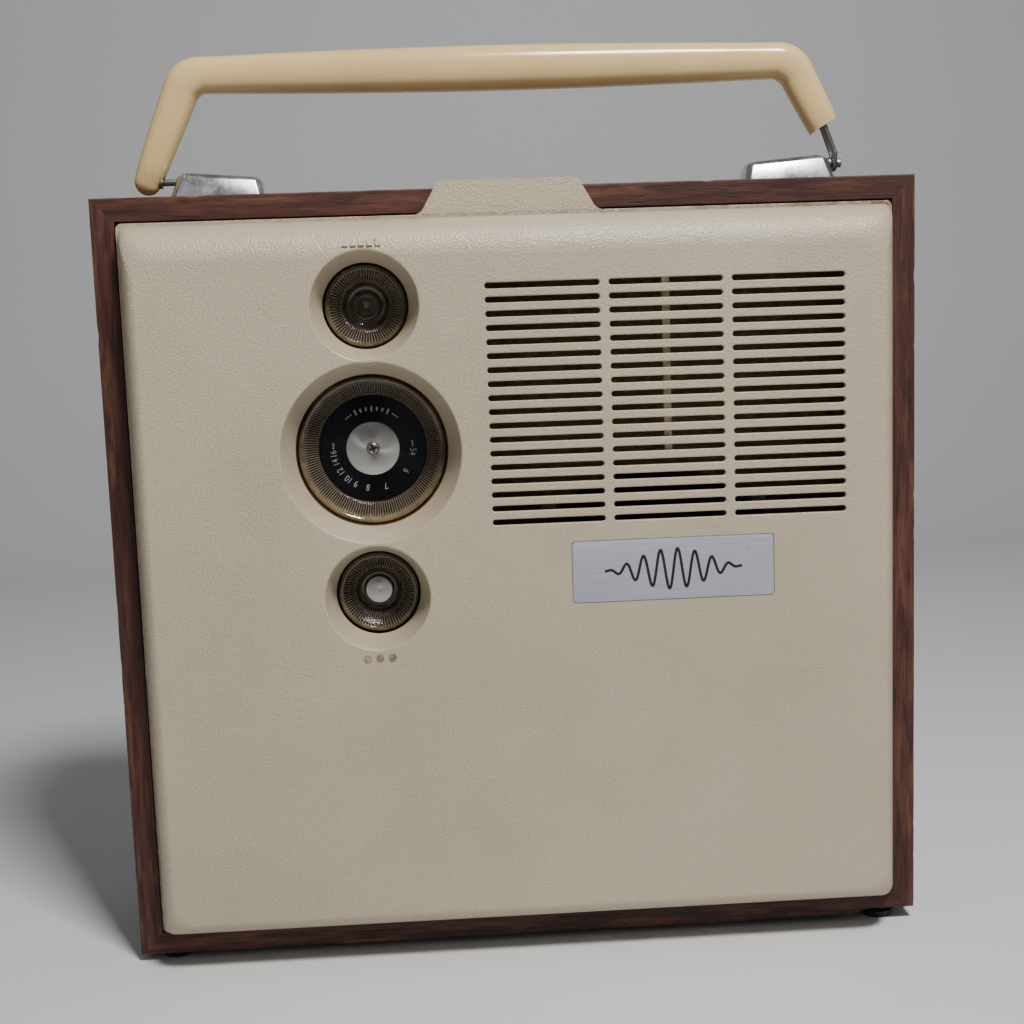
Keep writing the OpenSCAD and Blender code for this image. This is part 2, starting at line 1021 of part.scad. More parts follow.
module tab_outline() {
    base = cover_z1;
    corner_r = 4;
    top_x = tab_top_w / 2 - 1;
    high = base + tab_h;
    polygon([
        [-tab_base_w / 2, base - 1], [tab_base_w / 2, base - 1],
        [tab_base_w / 2, base + 0.5], [tab_base_w / 2 - 4, base + 1.8],
        [top_x + corner_r * 0.87, high - corner_r * 0.5], [top_x, high],
        [-top_x, high], [-top_x - corner_r * 0.87, high - corner_r * 0.5],
        [-tab_base_w / 2 + 4, base + 1.8], [-tab_base_w / 2, base + 0.5],
    ]);
    for (side = [-1, 1])
        translate([side * top_x, high - corner_r])
            circle(r = corner_r);
}

module slots() {
    for (column = [0 : 2])
        for (row = [0 : slot_rows - 1])
            translate([grille_x + column * slot_pitch_x, grille_z + row * slot_pitch_z]) {
                translate([slot_h / 2, -slot_h / 2])
                    square([slot_len - slot_h, slot_h]);
                translate([slot_h / 2, 0])
                    circle(r = slot_h / 2, $fn = 16);
                translate([slot_len - slot_h / 2, 0])
                    circle(r = slot_h / 2, $fn = 16);
            }
}

module each_well() {
    translate([knob_x, 0, volume_z])
        children(0);
    translate([knob_x, 0, tuning_z])
        children(1);
    translate([knob_x, 0, select_z])
        children(0);
}

module well_outside(mouth_r, well_r) {
    start = 1;
    slope = (mouth_r - well_r) / (well_floor_y - crown_y);
    taper_y(mouth_r + wall - slope * start, well_r + wall, crown_y + start, well_floor_y);
}

module well_inside(mouth_r, well_r) {
    slope = (mouth_r - well_r) / (well_floor_y - crown_y);
    taper_y(mouth_r + slope, well_r - slope, crown_y - 1, well_floor_y + 1);
}

module rim() {
    difference() {
        block([-cover_x, lip_y, cover_z0], [cover_x, front_y + rim_depth - 0.3, cover_z1]);
        block([-cover_x + 2, lip_y - 1, cover_z0 + 2], [cover_x - 2, front_y + rim_depth, cover_z1 - 2]);
    }
}

// Five rising bars, tilted to lie on the crown's upper curve above the volume well.
module volume_marks() {
    bars = 5;
    fall = cover_z1 - lip_w - volume_mark_z;
    a = acos(1 - fall / crown_run_top);
    tilt = atan(crown_h * cos(a) / (crown_run_top * sin(a)));
    translate([knob_x - 7.5, lip_y - crown_h * sin(a), volume_mark_z])
        rotate([-tilt, 0, 0])
            for (i = [0 : bars - 1])
                translate([i * 3.2, 0, -1.7])
                    block([0, -mark_h, 0], [2.2, 1, 1 + i * 0.6]);
}

module select_marks() {
    for (i = [-1 : 1])
        translate([knob_x + i * 5, 0, select_z - 24.3])
            rod_y(1.1, crown_y - mark_h, crown_y + 0.5);
}

module grille_rib() {
    back = crown_y + wall - 0.5;
    rotate([90, 0, 90])
        translate([0, 0, grille_mid_x - 2])
            linear_extrude(4)
                polygon([[back, grille_z + 28], [back, in_z1 - 24], [back + 9, in_z1 - 24]]);
}

module hinge_bosses() {
    hinge_places()
        block([-hinge_len / 2, -5, 1.7], [hinge_len / 2, 0.45, 14]);
}

module cover_shell() {
    difference() {
        union() {
            block([-cover_x, lip_y, cover_z0], [cover_x, lip_y + lip_t, cover_z1]);
            slab(lip_y, lip_y + lip_t)
                tab_outline();
            crown(0);
            rim();
        }
        crown(wall);
    }
}

module front_cover() {
    color("tan")
        difference() {
            union() {
                cover_shell();
                each_well() {
                    well_outside(small_mouth_r, small_well_r);
                    well_outside(tuning_mouth_r, tuning_well_r);
                }
                grille_rib();
                hinge_bosses();
                volume_marks();
                select_marks();
            }
            each_well() {
                well_inside(small_mouth_r, small_well_r);
                well_inside(tuning_mouth_r, tuning_well_r);
            }
            slab(crown_y - 1, crown_y + wall + 1)
                slots();
            block([plate_x - plate_w / 2 - 0.2, crown_y - 1, plate_z - plate_h / 2 - 0.2],
                  [plate_x + plate_w / 2 + 0.2, crown_y + plate_recess, plate_z + plate_h / 2 + 0.2]);
            hinge_places() {
                block([-hinge_len / 2 - 1, -1.55, -3], [hinge_len / 2 + 1, 10, 1.7]);
                for (x = [-10, 10])
                    translate([x, 0, 8])
                        rod_y(1.2, -2.5, 1);
            }
        }
}

module nameplate() {
    r = 1.7;
    color("lightsteelblue")
        slab(crown_y + 0.05, crown_y + plate_recess)
            translate([plate_x, plate_z])
                union() {
                    square([plate_w - 2 * r, plate_h], center = true);
                    square([plate_w, plate_h - 2 * r], center = true);
                    for (sx = [-1, 1])
                        for (sz = [-1, 1])
                            translate([sx * (plate_w / 2 - r), sz * (plate_h / 2 - r)])
                                circle(r = r);
                }
}

module dust_seal() {
    color("sienna")
        at_knob(tuning_z)
            ring_y(tuning_well_r + 2, tuning_well_r - 0.4, well_floor_y, well_floor_y + 1.4);
}

// ---- Handle ----

module grip_side(corner, end, end_r) {
    bar(handle_point(0, bar_rise), corner, bar_mid_r, bar_end_r);
    translate(corner)
        sphere(r = bar_end_r * 1.03);
    bar(corner, end, bar_end_r, end_r);
}

// Two wires from the bar's middle to the pivot, through the given places, joined by a round eye.
module wire_half(places) {
    half_gap = pin_r + run + wire_r;
    for (side = [-1, 1])
        bent_rod([for (place = places) place + [0, side * half_gap, 0]], wire_r);
    translate(places[len(places) - 1])
        rotate([0, 90, 0])
            rotate([0, 0, -90])
                rotate_extrude(angle = 180)
                    translate([half_gap, 0])
                        circle(r = wire_r);
}

module handle_grip() {
    color("wheat")
        difference() {
            union() {
                grip_side(right_corner, right_corner + broken_leg * right_leg_dir, broken_end_r);
                mirror([1, 0, 0]) {
                    grip_side(left_corner, left_foot, leg_foot_r);
                    translate(left_foot)
                        sphere(r = leg_foot_r * 1.03);
                }
            }
            mirror([1, 0, 0])
                translate([0, pivot_y, pivot_z]) {
                    rod_x(pin_r + run, left_foot_x - 12, left_foot_x + 12);
                    rod_x(pin_head_r + 0.3, left_foot_x + wire_r + 0.1, left_foot_x + 12);
                    rod_x(collar_r + 0.4, left_foot_x - 12, left_collar_x + left_collar_t + 0.3);
                }
        }
}

module handle_core() {
    color("lightgray") {
        mirror([1, 0, 0])
            wire_half([
                handle_point(0, bar_rise), left_corner, handle_point(left_foot_x, 4), left_foot,
            ]);
        wire_half([
            handle_point(0, bar_rise), right_corner, right_corner + (broken_leg + 1) * right_leg_dir,
            handle_point(eye_x, 4), handle_point(eye_x, 0),
        ]);
    }
}

// ---- Knobs ----

module tuning_knob() {
    seat_y = dial_y - 2;
    plate_back_y = dial_y + 1.4;
    color("darkgoldenrod")
        at_knob(tuning_z)
            difference() {
                union() {
                    taper_y(29, tuning_knob_r, tuning_front_y, tuning_front_y + 1.4);
                    rod_y(tuning_knob_r, tuning_front_y + 1.4, plate_back_y);
                    rod_y(7, plate_back_y - eps, tuning_back_y);
                }
                taper_y(28.2, 22, tuning_front_y - 1, seat_y);
                rod_y(22, seat_y - eps, dial_y + dial_t);
                rod_y(screw_r, dial_y, shaft_front_y + eps);
                rod_y(shaft_r, shaft_front_y, tuning_back_y + 1);
            }
}

module dial_disc() {
    color("black")
        at_knob(tuning_z)
            ring_y(21.8, screw_r, dial_y, dial_y + dial_t);
}

module tuning_cap() {
    color("silver")
        at_knob(tuning_z)
            ring_y(cap_r, screw_r, dial_y - cap_t, dial_y);
}

module tuning_screw() {
    head_y = dial_y - cap_t;
    color("gainsboro")
        at_knob(tuning_z) {
            difference() {
                intersection() {
                    translate([0, head_y + 2.4, 0])
                        sphere(r = 3.8);
                    rod_y(2.7, head_y - 1.4, head_y);
                }
                for (a = [0, 90])
                    rotate([0, a, 0])
                        block([-1.5, head_y - 2, -0.3], [1.5, head_y - 0.6, 0.3]);
            }
            rod_y(screw_r, head_y - eps, shaft_front_y + 6);
        }
}

module small_knob(z) {
    dish_r = 9.6;
    at_knob(z)
        difference() {
            union() {
                difference() {
                    union() {
                        taper_y(14.8, small_knob_r, small_front_y, small_front_y + 3.4);
                        rod_y(small_knob_r, small_front_y + 3.4, small_dish_y + 2.4);
                    }
                    taper_y(15.6, dish_r, small_front_y - 1, small_front_y + 4);
                    rod_y(dish_r, small_front_y + 4 - eps, small_dish_y);
                }
                rod_y(hub_r, hub_front_y, small_back_y);
            }
            rod_y(shaft_r, small_shaft_y, small_back_y + 1);
            rod_y(1, hub_front_y - 1, small_shaft_y + eps);
        }
}

module volume_knob() {
    color("goldenrod")
        small_knob(volume_z);
}

module volume_shaft() {
    color("gold")
        at_knob(volume_z)
            rod_y(shaft_r, small_shaft_y, baffle_back + 10);
}

module select_knob() {
    color("goldenrod")
        small_knob(select_z);
}

module select_cap() {
    color("silver")
        at_knob(select_z) {
            rod_y(5.5, hub_front_y - cap_t, hub_front_y);
            rod_y(1, hub_front_y - eps, small_shaft_y);
        }
}

module select_shaft() {
    color("silver")
        at_knob(select_z)
            rod_y(shaft_r, small_shaft_y, baffle_back + 1);
}

top_board();
bottom_board();
side_board(-1);  // left_side_board
side_board(1);  // right_side_board
corner_blocks();
back_cover();
back_cover_screws();
rubber_feet();
baffle_board();
baffle_cleats();
baffle_screws();
left_handle_bracket();
right_handle_bracket();
handle_bracket_screws();
handle_pivot_pins();
handle_collars();
case_hinge_leaves();
hinge_pins();
case_hinge_screws();
catch_clip();
speaker_basket();
speaker_cone();
speaker_dust_cap();
speaker_magnet();
circuit_board();
board_standoffs();
if_cans();
transistors();
electrolytic_capacitors();
transformers();
ferrite_rod();
antenna_coil();
antenna_holders();
tuning_frame();
tuning_stator();
volume_control();
select_switch();
control_nuts();
battery_tray();
battery_cells();
battery_springs();
hookup_wires();
front_cover();
nameplate();
dust_seal();
cover_hinge_leaves();
cover_hinge_screws();
catch_strike();
handle_grip();
handle_core();
tuning_knob();
dial_disc();
tuning_cap();
tuning_screw();
tuning_rotor();
volume_knob();
volume_shaft();
select_knob();
select_cap();
select_shaft();
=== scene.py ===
"""Looks for a portable tabletop radio: wood case, moulded drop-front cover, recessed knobs, handle."""

import json
import math

import bmesh
import bpy
from mathutils import Matrix, Vector, noise


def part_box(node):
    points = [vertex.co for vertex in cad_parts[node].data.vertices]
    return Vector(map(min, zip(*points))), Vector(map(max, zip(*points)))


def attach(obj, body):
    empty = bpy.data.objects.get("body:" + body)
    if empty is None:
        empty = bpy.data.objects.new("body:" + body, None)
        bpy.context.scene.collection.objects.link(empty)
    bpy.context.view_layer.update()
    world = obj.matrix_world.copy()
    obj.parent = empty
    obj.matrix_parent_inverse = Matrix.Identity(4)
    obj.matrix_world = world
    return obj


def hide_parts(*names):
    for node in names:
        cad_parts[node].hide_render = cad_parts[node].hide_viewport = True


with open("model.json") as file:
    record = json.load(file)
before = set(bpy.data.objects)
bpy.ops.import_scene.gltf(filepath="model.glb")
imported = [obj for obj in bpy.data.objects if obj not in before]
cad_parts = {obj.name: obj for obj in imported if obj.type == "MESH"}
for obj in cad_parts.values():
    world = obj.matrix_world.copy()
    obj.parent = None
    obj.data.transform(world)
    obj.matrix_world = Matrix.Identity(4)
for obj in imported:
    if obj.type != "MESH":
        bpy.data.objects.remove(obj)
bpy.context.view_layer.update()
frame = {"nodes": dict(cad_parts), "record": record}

MM = 0.001
TURN = 2 * math.pi
NODES = frame["nodes"]
SLOT_OF = {row["node"]: row["material_slot"] for row in frame["record"]["subparts"]}


# ---- Places, worked out from the frame ----

def low(node):
    return Vector(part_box(node)[0])


def high(node):
    return Vector(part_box(node)[1])


def middle(node):
    return (low(node) + high(node)) / 2


def axis(node):
    """A point on the line along Y through the node's middle."""
    centre = middle(node)
    return Vector((centre.x, 0, centre.z))


def half_width(node):
    return (high(node).x - low(node).x) / 2


CASE_RIGHT = high("right_side_board").x
CASE_LOW = low("bottom_board").z
CASE_HIGH = high("top_board").z
FRONT = low("top_board").y
REAR = high("top_board").y
BOARD_T = high("bottom_board").z - CASE_LOW

COVER = (low("front_cover"), high("front_cover"))
COVER_X = COVER[1].x
COVER_LOW = COVER[0].z
COVER_GAP = (CASE_RIGHT - BOARD_T) - COVER_X
COVER_HIGH = CASE_HIGH - BOARD_T - COVER_GAP
MARK_H = 0.4 * MM
CROWN_Y = COVER[0].y + MARK_H
RIM_Y = COVER[1].y
LIP_Y = FRONT - 2.3 * MM
LIP_T = 2 * MM
LIP_W = 1.3 * MM
WALL = 2.2 * MM
CROWN_H = LIP_Y - CROWN_Y
RUN_SIDE = 7.5 * MM
RUN_LOW = 8 * MM
RUN_HIGH = 16 * MM
CROWN_CORNER = 3.5 * MM
WELL_FLOOR = FRONT - 3.8 * MM
PIVOT = middle("handle_pivot_pins")
HINGE = middle("hinge_pins")
HINGE_X = 100 * MM


# ---- Materials ----

class Shader:
    """A material under construction: short calls that add nodes and join them."""

    def __init__(self, name="look"):
        self.material = bpy.data.materials.new(name)
        self.material.use_nodes = True
        self.tree = self.material.node_tree
        self.bsdf = self.tree.nodes["Principled BSDF"]
        self.coords = self.tree.nodes.new("ShaderNodeTexCoord").outputs["Object"]

    def node(self, kind, inputs=None, **settings):
        made = self.tree.nodes.new("ShaderNode" + kind)
        for key, value in settings.items():
            setattr(made, key, value)
        for key, value in (inputs or {}).items():
            self.put(made.inputs[key], value)
        return made

    def put(self, socket, value):
        if isinstance(value, bpy.types.NodeSocket):
            self.tree.links.new(value, socket)
        else:
            socket.default_value = value

    def set(self, **values):
        for key, value in values.items():
            self.put(self.bsdf.inputs[key.replace("_", " ")], value)

    def stretch(self, x, y, z):
        return self.node("Mapping", {"Vector": self.coords, "Scale": (x, y, z)}).outputs["Vector"]

    def noise(self, scale, detail=4.0, rough=0.55, vector=None):
        inputs = {"Vector": vector or self.coords, "Scale": scale, "Detail": detail, "Roughness": rough}
        return self.node("TexNoise", inputs).outputs["Fac"]

    def ramp(self, value, *stops):
        """Stops are (place, colour), where a plain number stands for a grey."""
        made = self.node("ValToRGB", {"Fac": value})
        band = made.color_ramp
        while len(band.elements) < len(stops):
            band.elements.new(0.5)
        for element, (place, colour) in zip(band.elements, stops):
            element.position = place
            element.color = (*colour, 1) if isinstance(colour, tuple) else (colour, colour, colour, 1)
        return made.outputs["Color"]

    def between(self, value, a, b):
        """From a where the noise is low to b where it is high."""
        return self.ramp(value, (0.3, a), (0.7, b))

    def mask(self, value, start, end):
        inputs = {"Value": value, "From Min": start, "From Max": end}
        return self.node("MapRange", inputs).outputs["Result"]

    def mix(self, factor, a, b):
        made = self.node("Mix", data_type="RGBA")
        self.put(made.inputs[0], factor)
        self.put(made.inputs[6], a if isinstance(a, bpy.types.NodeSocket) else (*a, 1))
        self.put(made.inputs[7], b if isinstance(b, bpy.types.NodeSocket) else (*b, 1))
        return made.outputs[2]

    def math(self, operation, a, b):
        made = self.node("Math", operation=operation)
        self.put(made.inputs[0], a)
        self.put(made.inputs[1], b)
        return made.outputs[0]

    def times(self, a, b):
        return self.math("MULTIPLY", a, b)

    def attribute(self, name):
        return self.node("Attribute", attribute_name=name).outputs["Fac"]

    def bump(self, height, distance, strength, normal=None):
        inputs = {"Height": height, "Distance": distance, "Strength": strength}
        if normal:
            inputs["Normal"] = normal
        return self.node("Bump", inputs).outputs["Normal"]


def rise(value, start, end):
    """0 up to start, 1 from end on, and even in between."""
    return min(max((value - start) / (end - start), 0), 1)


def srgb(r, g, b):
    """A colour given as it looks, 0 to 255, in the linear values that shaders take."""
    def linear(c):
        c /= 255
        return c / 12.92 if c < 0.04045 else ((c + 0.055) / 1.055) ** 2.4
    return (linear(r), linear(g), linear(b))


def scaled(colour, factor):
    return tuple(min(c * factor, 1) for c in colour)


def wood(along):
    """Dark oiled walnut with straight grain along one axis, paler where the wear attribute says so."""
    s = Shader()

    def drawn_out(scale):
        return s.stretch(scale, 1, 1) if along == "x" else s.stretch(1, 1, scale)

    across = drawn_out(0.10)
    warp = s.node("MixRGB", {"Fac": 0.004, "Color1": across})
    s.put(warp.inputs["Color2"], s.node("TexNoise", {"Vector": across, "Scale": 60.0}).outputs["Color"])
    grain = s.noise(340.0, 8.0, 0.70, warp.outputs["Color"])
    band = s.noise(70.0, 3.0, 0.5, warp.outputs["Color"])
    pores = s.noise(1500.0, 2.0, 0.5, drawn_out(0.035))
    dark, brown, red, pale = srgb(38, 20, 17), srgb(70, 39, 32), srgb(94, 55, 45), srgb(122, 80, 64)
    colour = s.ramp(grain, (0.28, dark), (0.45, brown), (0.60, red), (0.78, pale))
    colour = s.mix(s.mask(band, 0.42, 0.68), colour, s.ramp(grain, (0.30, dark), (0.75, brown)))
    pore_mask = s.mask(pores, 0.60, 0.68)
    colour = s.mix(s.times(pore_mask, 0.7), colour, srgb(26, 13, 11))
    broad = s.mask(s.noise(24.0, 3.0, 0.5, across), 0.45, 0.75)
    colour = s.mix(s.times(broad, 0.35), colour, srgb(44, 24, 20))
    worn = s.times(s.attribute("wear"), s.mask(s.noise(420.0, 5.0, 0.6, across), 0.50, 0.66))
    colour = s.mix(s.times(worn, 0.6), colour, srgb(128, 84, 60))
    height = s.math("SUBTRACT", s.times(grain, 0.5), s.times(pore_mask, 0.8))
    rough = s.between(grain, 0.66, 0.48)
    s.set(Base_Color=colour, Roughness=rough, Normal=s.bump(height, 0.00010, 0.8))
    s.set(Specular_IOR_Level=0.35)
    return s.material


def moulded(base, stipple, roughness, dirt_and_shade_amount):
    """Moulded plastic. stipple is the depth of its leather grain in metres, 0 for smooth."""
    s = Shader()
    cloud = s.noise(11.0, 4.0, 0.6)
    colour = s.ramp(cloud, (0.36, scaled(base, 0.93)), (0.62, scaled(base, 1.03)))
    fleck = s.mask(s.noise(620.0, 2.0), 0.68, 0.74)
    colour = s.mix(s.times(fleck, 0.30), colour, scaled(base, 0.5))
    # brown darkening from a vertex attribute: dirt near the handle's ends, painted shade on the cover's
    # dots and rib
    dirt = s.times(s.attribute("dirt_and_shade"), s.mask(s.noise(260.0, 6.0, 0.7), 0.30, 0.62))
    colour = s.mix(s.times(dirt, dirt_and_shade_amount), colour, srgb(84, 66, 46))
    broad = s.noise(60.0, 2.0)
    rough = s.between(broad, roughness - 0.04, roughness + 0.05)
    s.set(Base_Color=colour, Roughness=rough)
    if stipple:
        inputs = {"Vector": s.coords, "Scale": 1150.0, "Randomness": 1.0, "Smoothness": 0.6}
        cells = s.node("TexVoronoi", inputs, feature="SMOOTH_F1")
        pebble = s.math("ADD", cells.outputs["Distance"], s.times(s.noise(2200.0, 3.0), 0.5))
        normal = s.bump(pebble, stipple, 1.0)
        s.set(Normal=s.bump(s.noise(640.0, 4.0, 0.6), stipple * 0.9, 0.7, normal))
    else:
        s.set(Normal=s.bump(s.noise(70.0, 3.0), 0.00006, 0.6))
    s.set(Specular_IOR_Level=0.5)
    return s.material


def metal(base, roughness, pits=0.0, scratches=True):
    """Plated or plain metal, with fine scratches and optional dark pits."""
    s = Shader()
    smear = s.noise(70.0, 5.0, 0.62)
    rough = s.between(smear, max(roughness - 0.08, 0.05), roughness + 0.14)
    colour = s.between(smear, scaled(base, 0.82), base)
    height = s.noise(500.0, 3.0)
    if scratches:
        height = s.math("ADD", height, s.noise(900.0, 2.0, 0.5, s.stretch(0.05, 1, 1)))
    normal = s.bump(height, 0.00003, 0.5)
    s.set(Metallic=1.0)
    if pits:
        spots = s.mask(s.noise(620.0, 6.0, 0.72), 0.60 - 0.1 * pits, 0.70 - 0.1 * pits)
        region = s.mask(s.noise(90.0, 3.0), 0.36, 0.60)
        spots = s.times(spots, region)
        colour = s.mix(s.times(spots, 0.8), colour, srgb(70, 60, 50))
        rough = s.mix(spots, rough, (0.85, 0.85, 0.85))
        s.set(Metallic=s.math("SUBTRACT", 1.0, s.times(spots, 0.6)))
        normal = s.bump(spots, 0.00012, -0.9, normal)
    s.set(Base_Color=colour, Roughness=rough, Normal=normal)
    return s.material


def spun(base, rings_per_mm=6.0):
    """Metal turned on a lathe: fine rings about the piece's own Y axis, and a radial sheen."""
    s = Shader()
    split = s.node("SeparateXYZ", {"Vector": s.coords})
    flat = s.node("CombineXYZ", {"X": split.outputs["X"], "Y": split.outputs["Z"]})
    radius = s.node("VectorMath", {0: flat.outputs[0]}, operation="LENGTH").outputs["Value"]
    ring = s.node("CombineXYZ", {"X": s.times(radius, 1000 * rings_per_mm)})
    lines = s.noise(1.0, 3.0, 0.6, ring.outputs[0])
    colour = s.between(lines, scaled(base, 0.72), base)
    colour = s.mix(s.times(s.mask(s.noise(300.0, 5.0, 0.7), 0.6, 0.72), 0.5), colour,
                   scaled(base, 0.5))
    s.set(Base_Color=colour, Metallic=1.0, Roughness=s.between(lines, 0.28, 0.38))
    s.set(Anisotropic=0.9)
    tangent = s.node("Tangent", direction_type="RADIAL", axis="Y").outputs[0]
    s.set(Tangent=tangent, Normal=s.bump(lines, 0.00004, 0.6))
    return s.material


def clear_amber():
    """Clear plastic gone brown: smoky in front, amber towards the rim with a painted glow that is strongest
    at the bottom, specks of dirt, painted shade in its grooves and painted highlights along its ridges.
    """
    s = Shader()
    cloud = s.noise(110.0, 4.0, 0.6)
    body = s.ramp(cloud, (0.35, srgb(62, 53, 44)), (0.68, srgb(98, 86, 70)))
    amber = s.ramp(cloud, (0.35, srgb(122, 102, 70)), (0.68, srgb(174, 154, 112)))
    # amber tint towards the rim, with a painted glow on its lower side
    body = s.mix(s.attribute("amber"), body, amber)
    dirt = s.mask(s.noise(420.0, 6.0, 0.7), 0.54, 0.70)
    body = s.mix(s.times(dirt, 0.4), body, srgb(66, 52, 38))
    # painted shade in the grooves of the flutes
    body = s.mix(s.attribute("groove"), body, srgb(44, 36, 30))
    # painted highlight along the ridges of the flutes
    body = s.mix(s.attribute("ridge_highlight"), body, srgb(214, 200, 176))
    s.set(Base_Color=body, Roughness=s.ramp(cloud, (0.35, 0.05), (0.7, 0.15)))
    s.set(Transmission_Weight=0.45)
    s.set(IOR=1.47)
    s.set(Coat_Weight=0.5)
    s.set(Coat_Roughness=0.05)
    s.set(Normal=s.bump(s.noise(400.0, 3.0), 0.00002, 0.5))
    return s.material


def plain(base, roughness, grain=300.0, depth=0.00005, metallic=0.0, vary=0.25):
    """A matt or glossy surface with some unevenness in colour and height."""
    s = Shader()
    spots = s.noise(grain, 5.0, 0.65)
    cloud = s.noise(grain / 12, 3.0)
    colour = s.between(cloud, scaled(base, 1 - vary), scaled(base, 1 + vary))
    colour = s.mix(s.times(s.mask(spots, 0.55, 0.75), 0.4), colour, scaled(base, 0.6))
    rough = s.between(spots, max(roughness - 0.08, 0.04), min(roughness + 0.1, 1))
    s.set(Base_Color=colour, Metallic=metallic, Roughness=rough, Normal=s.bump(spots, depth, 0.8))
    return s.material


def pressed_board():
    """Brown hardboard: short matted fibres, darker stains."""
    s = Shader()
    fibres = s.noise(420.0, 6.0, 0.75, s.stretch(0.45, 1, 1))
    stain = s.noise(12.0, 4.0, 0.6)
    colour = s.ramp(fibres, (0.28, srgb(70, 56, 36)), (0.5, srgb(112, 92, 60)), (0.74, srgb(150, 126, 86)))
    colour = s.mix(s.times(s.mask(stain, 0.5, 0.72), 0.45), colour, srgb(62, 48, 32))
    s.set(Base_Color=colour, Roughness=0.82, Normal=s.bump(fibres, 0.0002, 0.8))
    return s.material


def brushed_plate():
    """Pale satin aluminium with a faint lavender cast, hardly brushed, with a few specks."""
    s = Shader()
    lines = s.noise(900.0, 3.0, 0.6, s.stretch(0.05, 1, 1))
    cloud = s.noise(40.0, 3.0)
    colour = s.between(lines, srgb(170, 171, 184), srgb(184, 186, 199))
    colour = s.mix(s.times(cloud, 0.2), colour, srgb(160, 160, 172))
    speck = s.mask(s.noise(520.0, 3.0), 0.70, 0.76)
    colour = s.mix(s.times(speck, 0.6), colour, srgb(92, 92, 100))
    s.set(Base_Color=colour, Metallic=0.35, Roughness=s.between(lines, 0.46, 0.58))
    s.set(Normal=s.bump(lines, 0.00001, 0.5))
    return s.material


COVER_COLOUR = srgb(184, 171, 147)
GRIP_COLOUR = srgb(220, 190, 134)
MATERIALS = {
    "walnut_x": wood("x"),
    "walnut_z": wood("z"),
    "hardboard": pressed_board(),
    "pine": plain(srgb(186, 152, 108), 0.7, 180.0, 0.0001),
    "cover_plastic": moulded(COVER_COLOUR, 0.00022, 0.34, 0.8),
    "cover_smooth": moulded(scaled(COVER_COLOUR, 0.98), 0.0, 0.36, 0.6),
    "grip_plastic": moulded(GRIP_COLOUR, 0.0, 0.16, 0.9),
    "chrome_cast": metal(srgb(226, 228, 234), 0.27, 0.2, False),
    "steel": metal(srgb(160, 158, 152), 0.34, 0.2),
    "nameplate_aluminium": brushed_plate(),
    "spun_aluminium": spun(srgb(206, 204, 198)),
    "amber_clear": clear_amber(),
    "dial_black": spun(srgb(44, 44, 48), 3.0),
    "dial_white": plain(srgb(150, 152, 156), 0.5, 500.0, 0.00001, 0.0, 0.08),
    "emblem_black": plain(srgb(20, 20, 22), 0.35, 500.0, 0.00001),
    "felt": plain(srgb(104, 66, 40), 0.95, 700.0, 0.0004),
    "rubber_black": plain(srgb(34, 33, 32), 0.7, 500.0),
    "brass": metal(srgb(176, 140, 80), 0.36, 0.3),
    "cone_paper": plain(srgb(30, 27, 25), 0.9, 600.0, 0.0002),
    "magnet_grey": plain(srgb(92, 94, 96), 0.4, 200.0),
    "board_resin": plain(srgb(150, 112, 58), 0.5, 250.0),
    "can_metal": metal(srgb(196, 197, 198), 0.26),
    "transistor_black": plain(srgb(30, 30, 32), 0.5, 200.0),
    "capacitor_sleeve": plain(srgb(40, 78, 138), 0.3, 200.0),
    "transformer_iron": plain(srgb(84, 70, 58), 0.6, 300.0, 0.0001, 0.4),
    "ferrite": plain(srgb(58, 58, 60), 0.6, 400.0),
    "coil_winding": plain(srgb(156, 92, 46), 0.6, 900.0, 0.0002),
    "holder_plastic": plain(srgb(222, 214, 194), 0.5, 200.0),
    "tray_plastic": plain(srgb(46, 44, 42), 0.5, 300.0),
    "cell_jacket": plain(srgb(92, 104, 116), 0.32, 60.0, 0.00002, 0.5),
    "wire_insulation": plain(srgb(170, 46, 34), 0.45, 200.0),
    "core_wire": metal(srgb(150, 146, 140), 0.34, 0.7),
}
for look, material in MATERIALS.items():
    material.name = look


# ---- Mesh helpers ----

MERGE = 0.001 * MM


def new_object(name, data):
    made = bpy.data.objects.new(name, data)
    bpy.context.scene.collection.objects.link(made)
    return made


def build(name, verts, faces, *materials):
    mesh = bpy.data.meshes.new(name)
    mesh.from_pydata([tuple(v) for v in verts], [], faces)
    mesh.validate()
    for material in materials:
        mesh.materials.append(MATERIALS[material])
    made = new_object(name, mesh)
    face_outward(made)
    return made


def face_outward(made, merge=0.0):
    """Turns all faces outward, after merging vertices that are closer than merge."""
    work = bmesh.new()
    work.from_mesh(made.data)
    if merge:
        bmesh.ops.remove_doubles(work, verts=work.verts, dist=merge)
    bmesh.ops.recalc_face_normals(work, faces=work.faces)
    work.to_mesh(made.data)
    work.free()


def activate(*made):
    """Selects the objects and makes the first one active."""
    bpy.ops.object.select_all(action="DESELECT")
    for each in made:
        each.select_set(True)
    bpy.context.view_layer.objects.active = made[0]


def apply_modifiers(made):
    activate(made)
    for modifier in list(made.modifiers):
        bpy.ops.object.modifier_apply(modifier=modifier.name)


def smooth(made, degrees):
    activate(made)
    bpy.ops.object.shade_smooth_by_angle(angle=math.radians(degrees))


def join(target, *others):
    activate(target, *others)
    bpy.ops.object.join()
    return target


def carve(target, cutter):
    modifier = target.modifiers.new("carve", "BOOLEAN")
    modifier.object = cutter
    apply_modifiers(target)
    bpy.data.objects.remove(cutter)


def add_bevel(made, width, segments, degrees):
    edge = made.modifiers.new("edge", "BEVEL")
    edge.width = width
    edge.segments = segments
    edge.limit_method = "ANGLE"
    edge.angle_limit = math.radians(degrees)


def bevel(made, width, segments=2, degrees=30.0):
    add_bevel(made, width, segments, degrees)
    apply_modifiers(made)


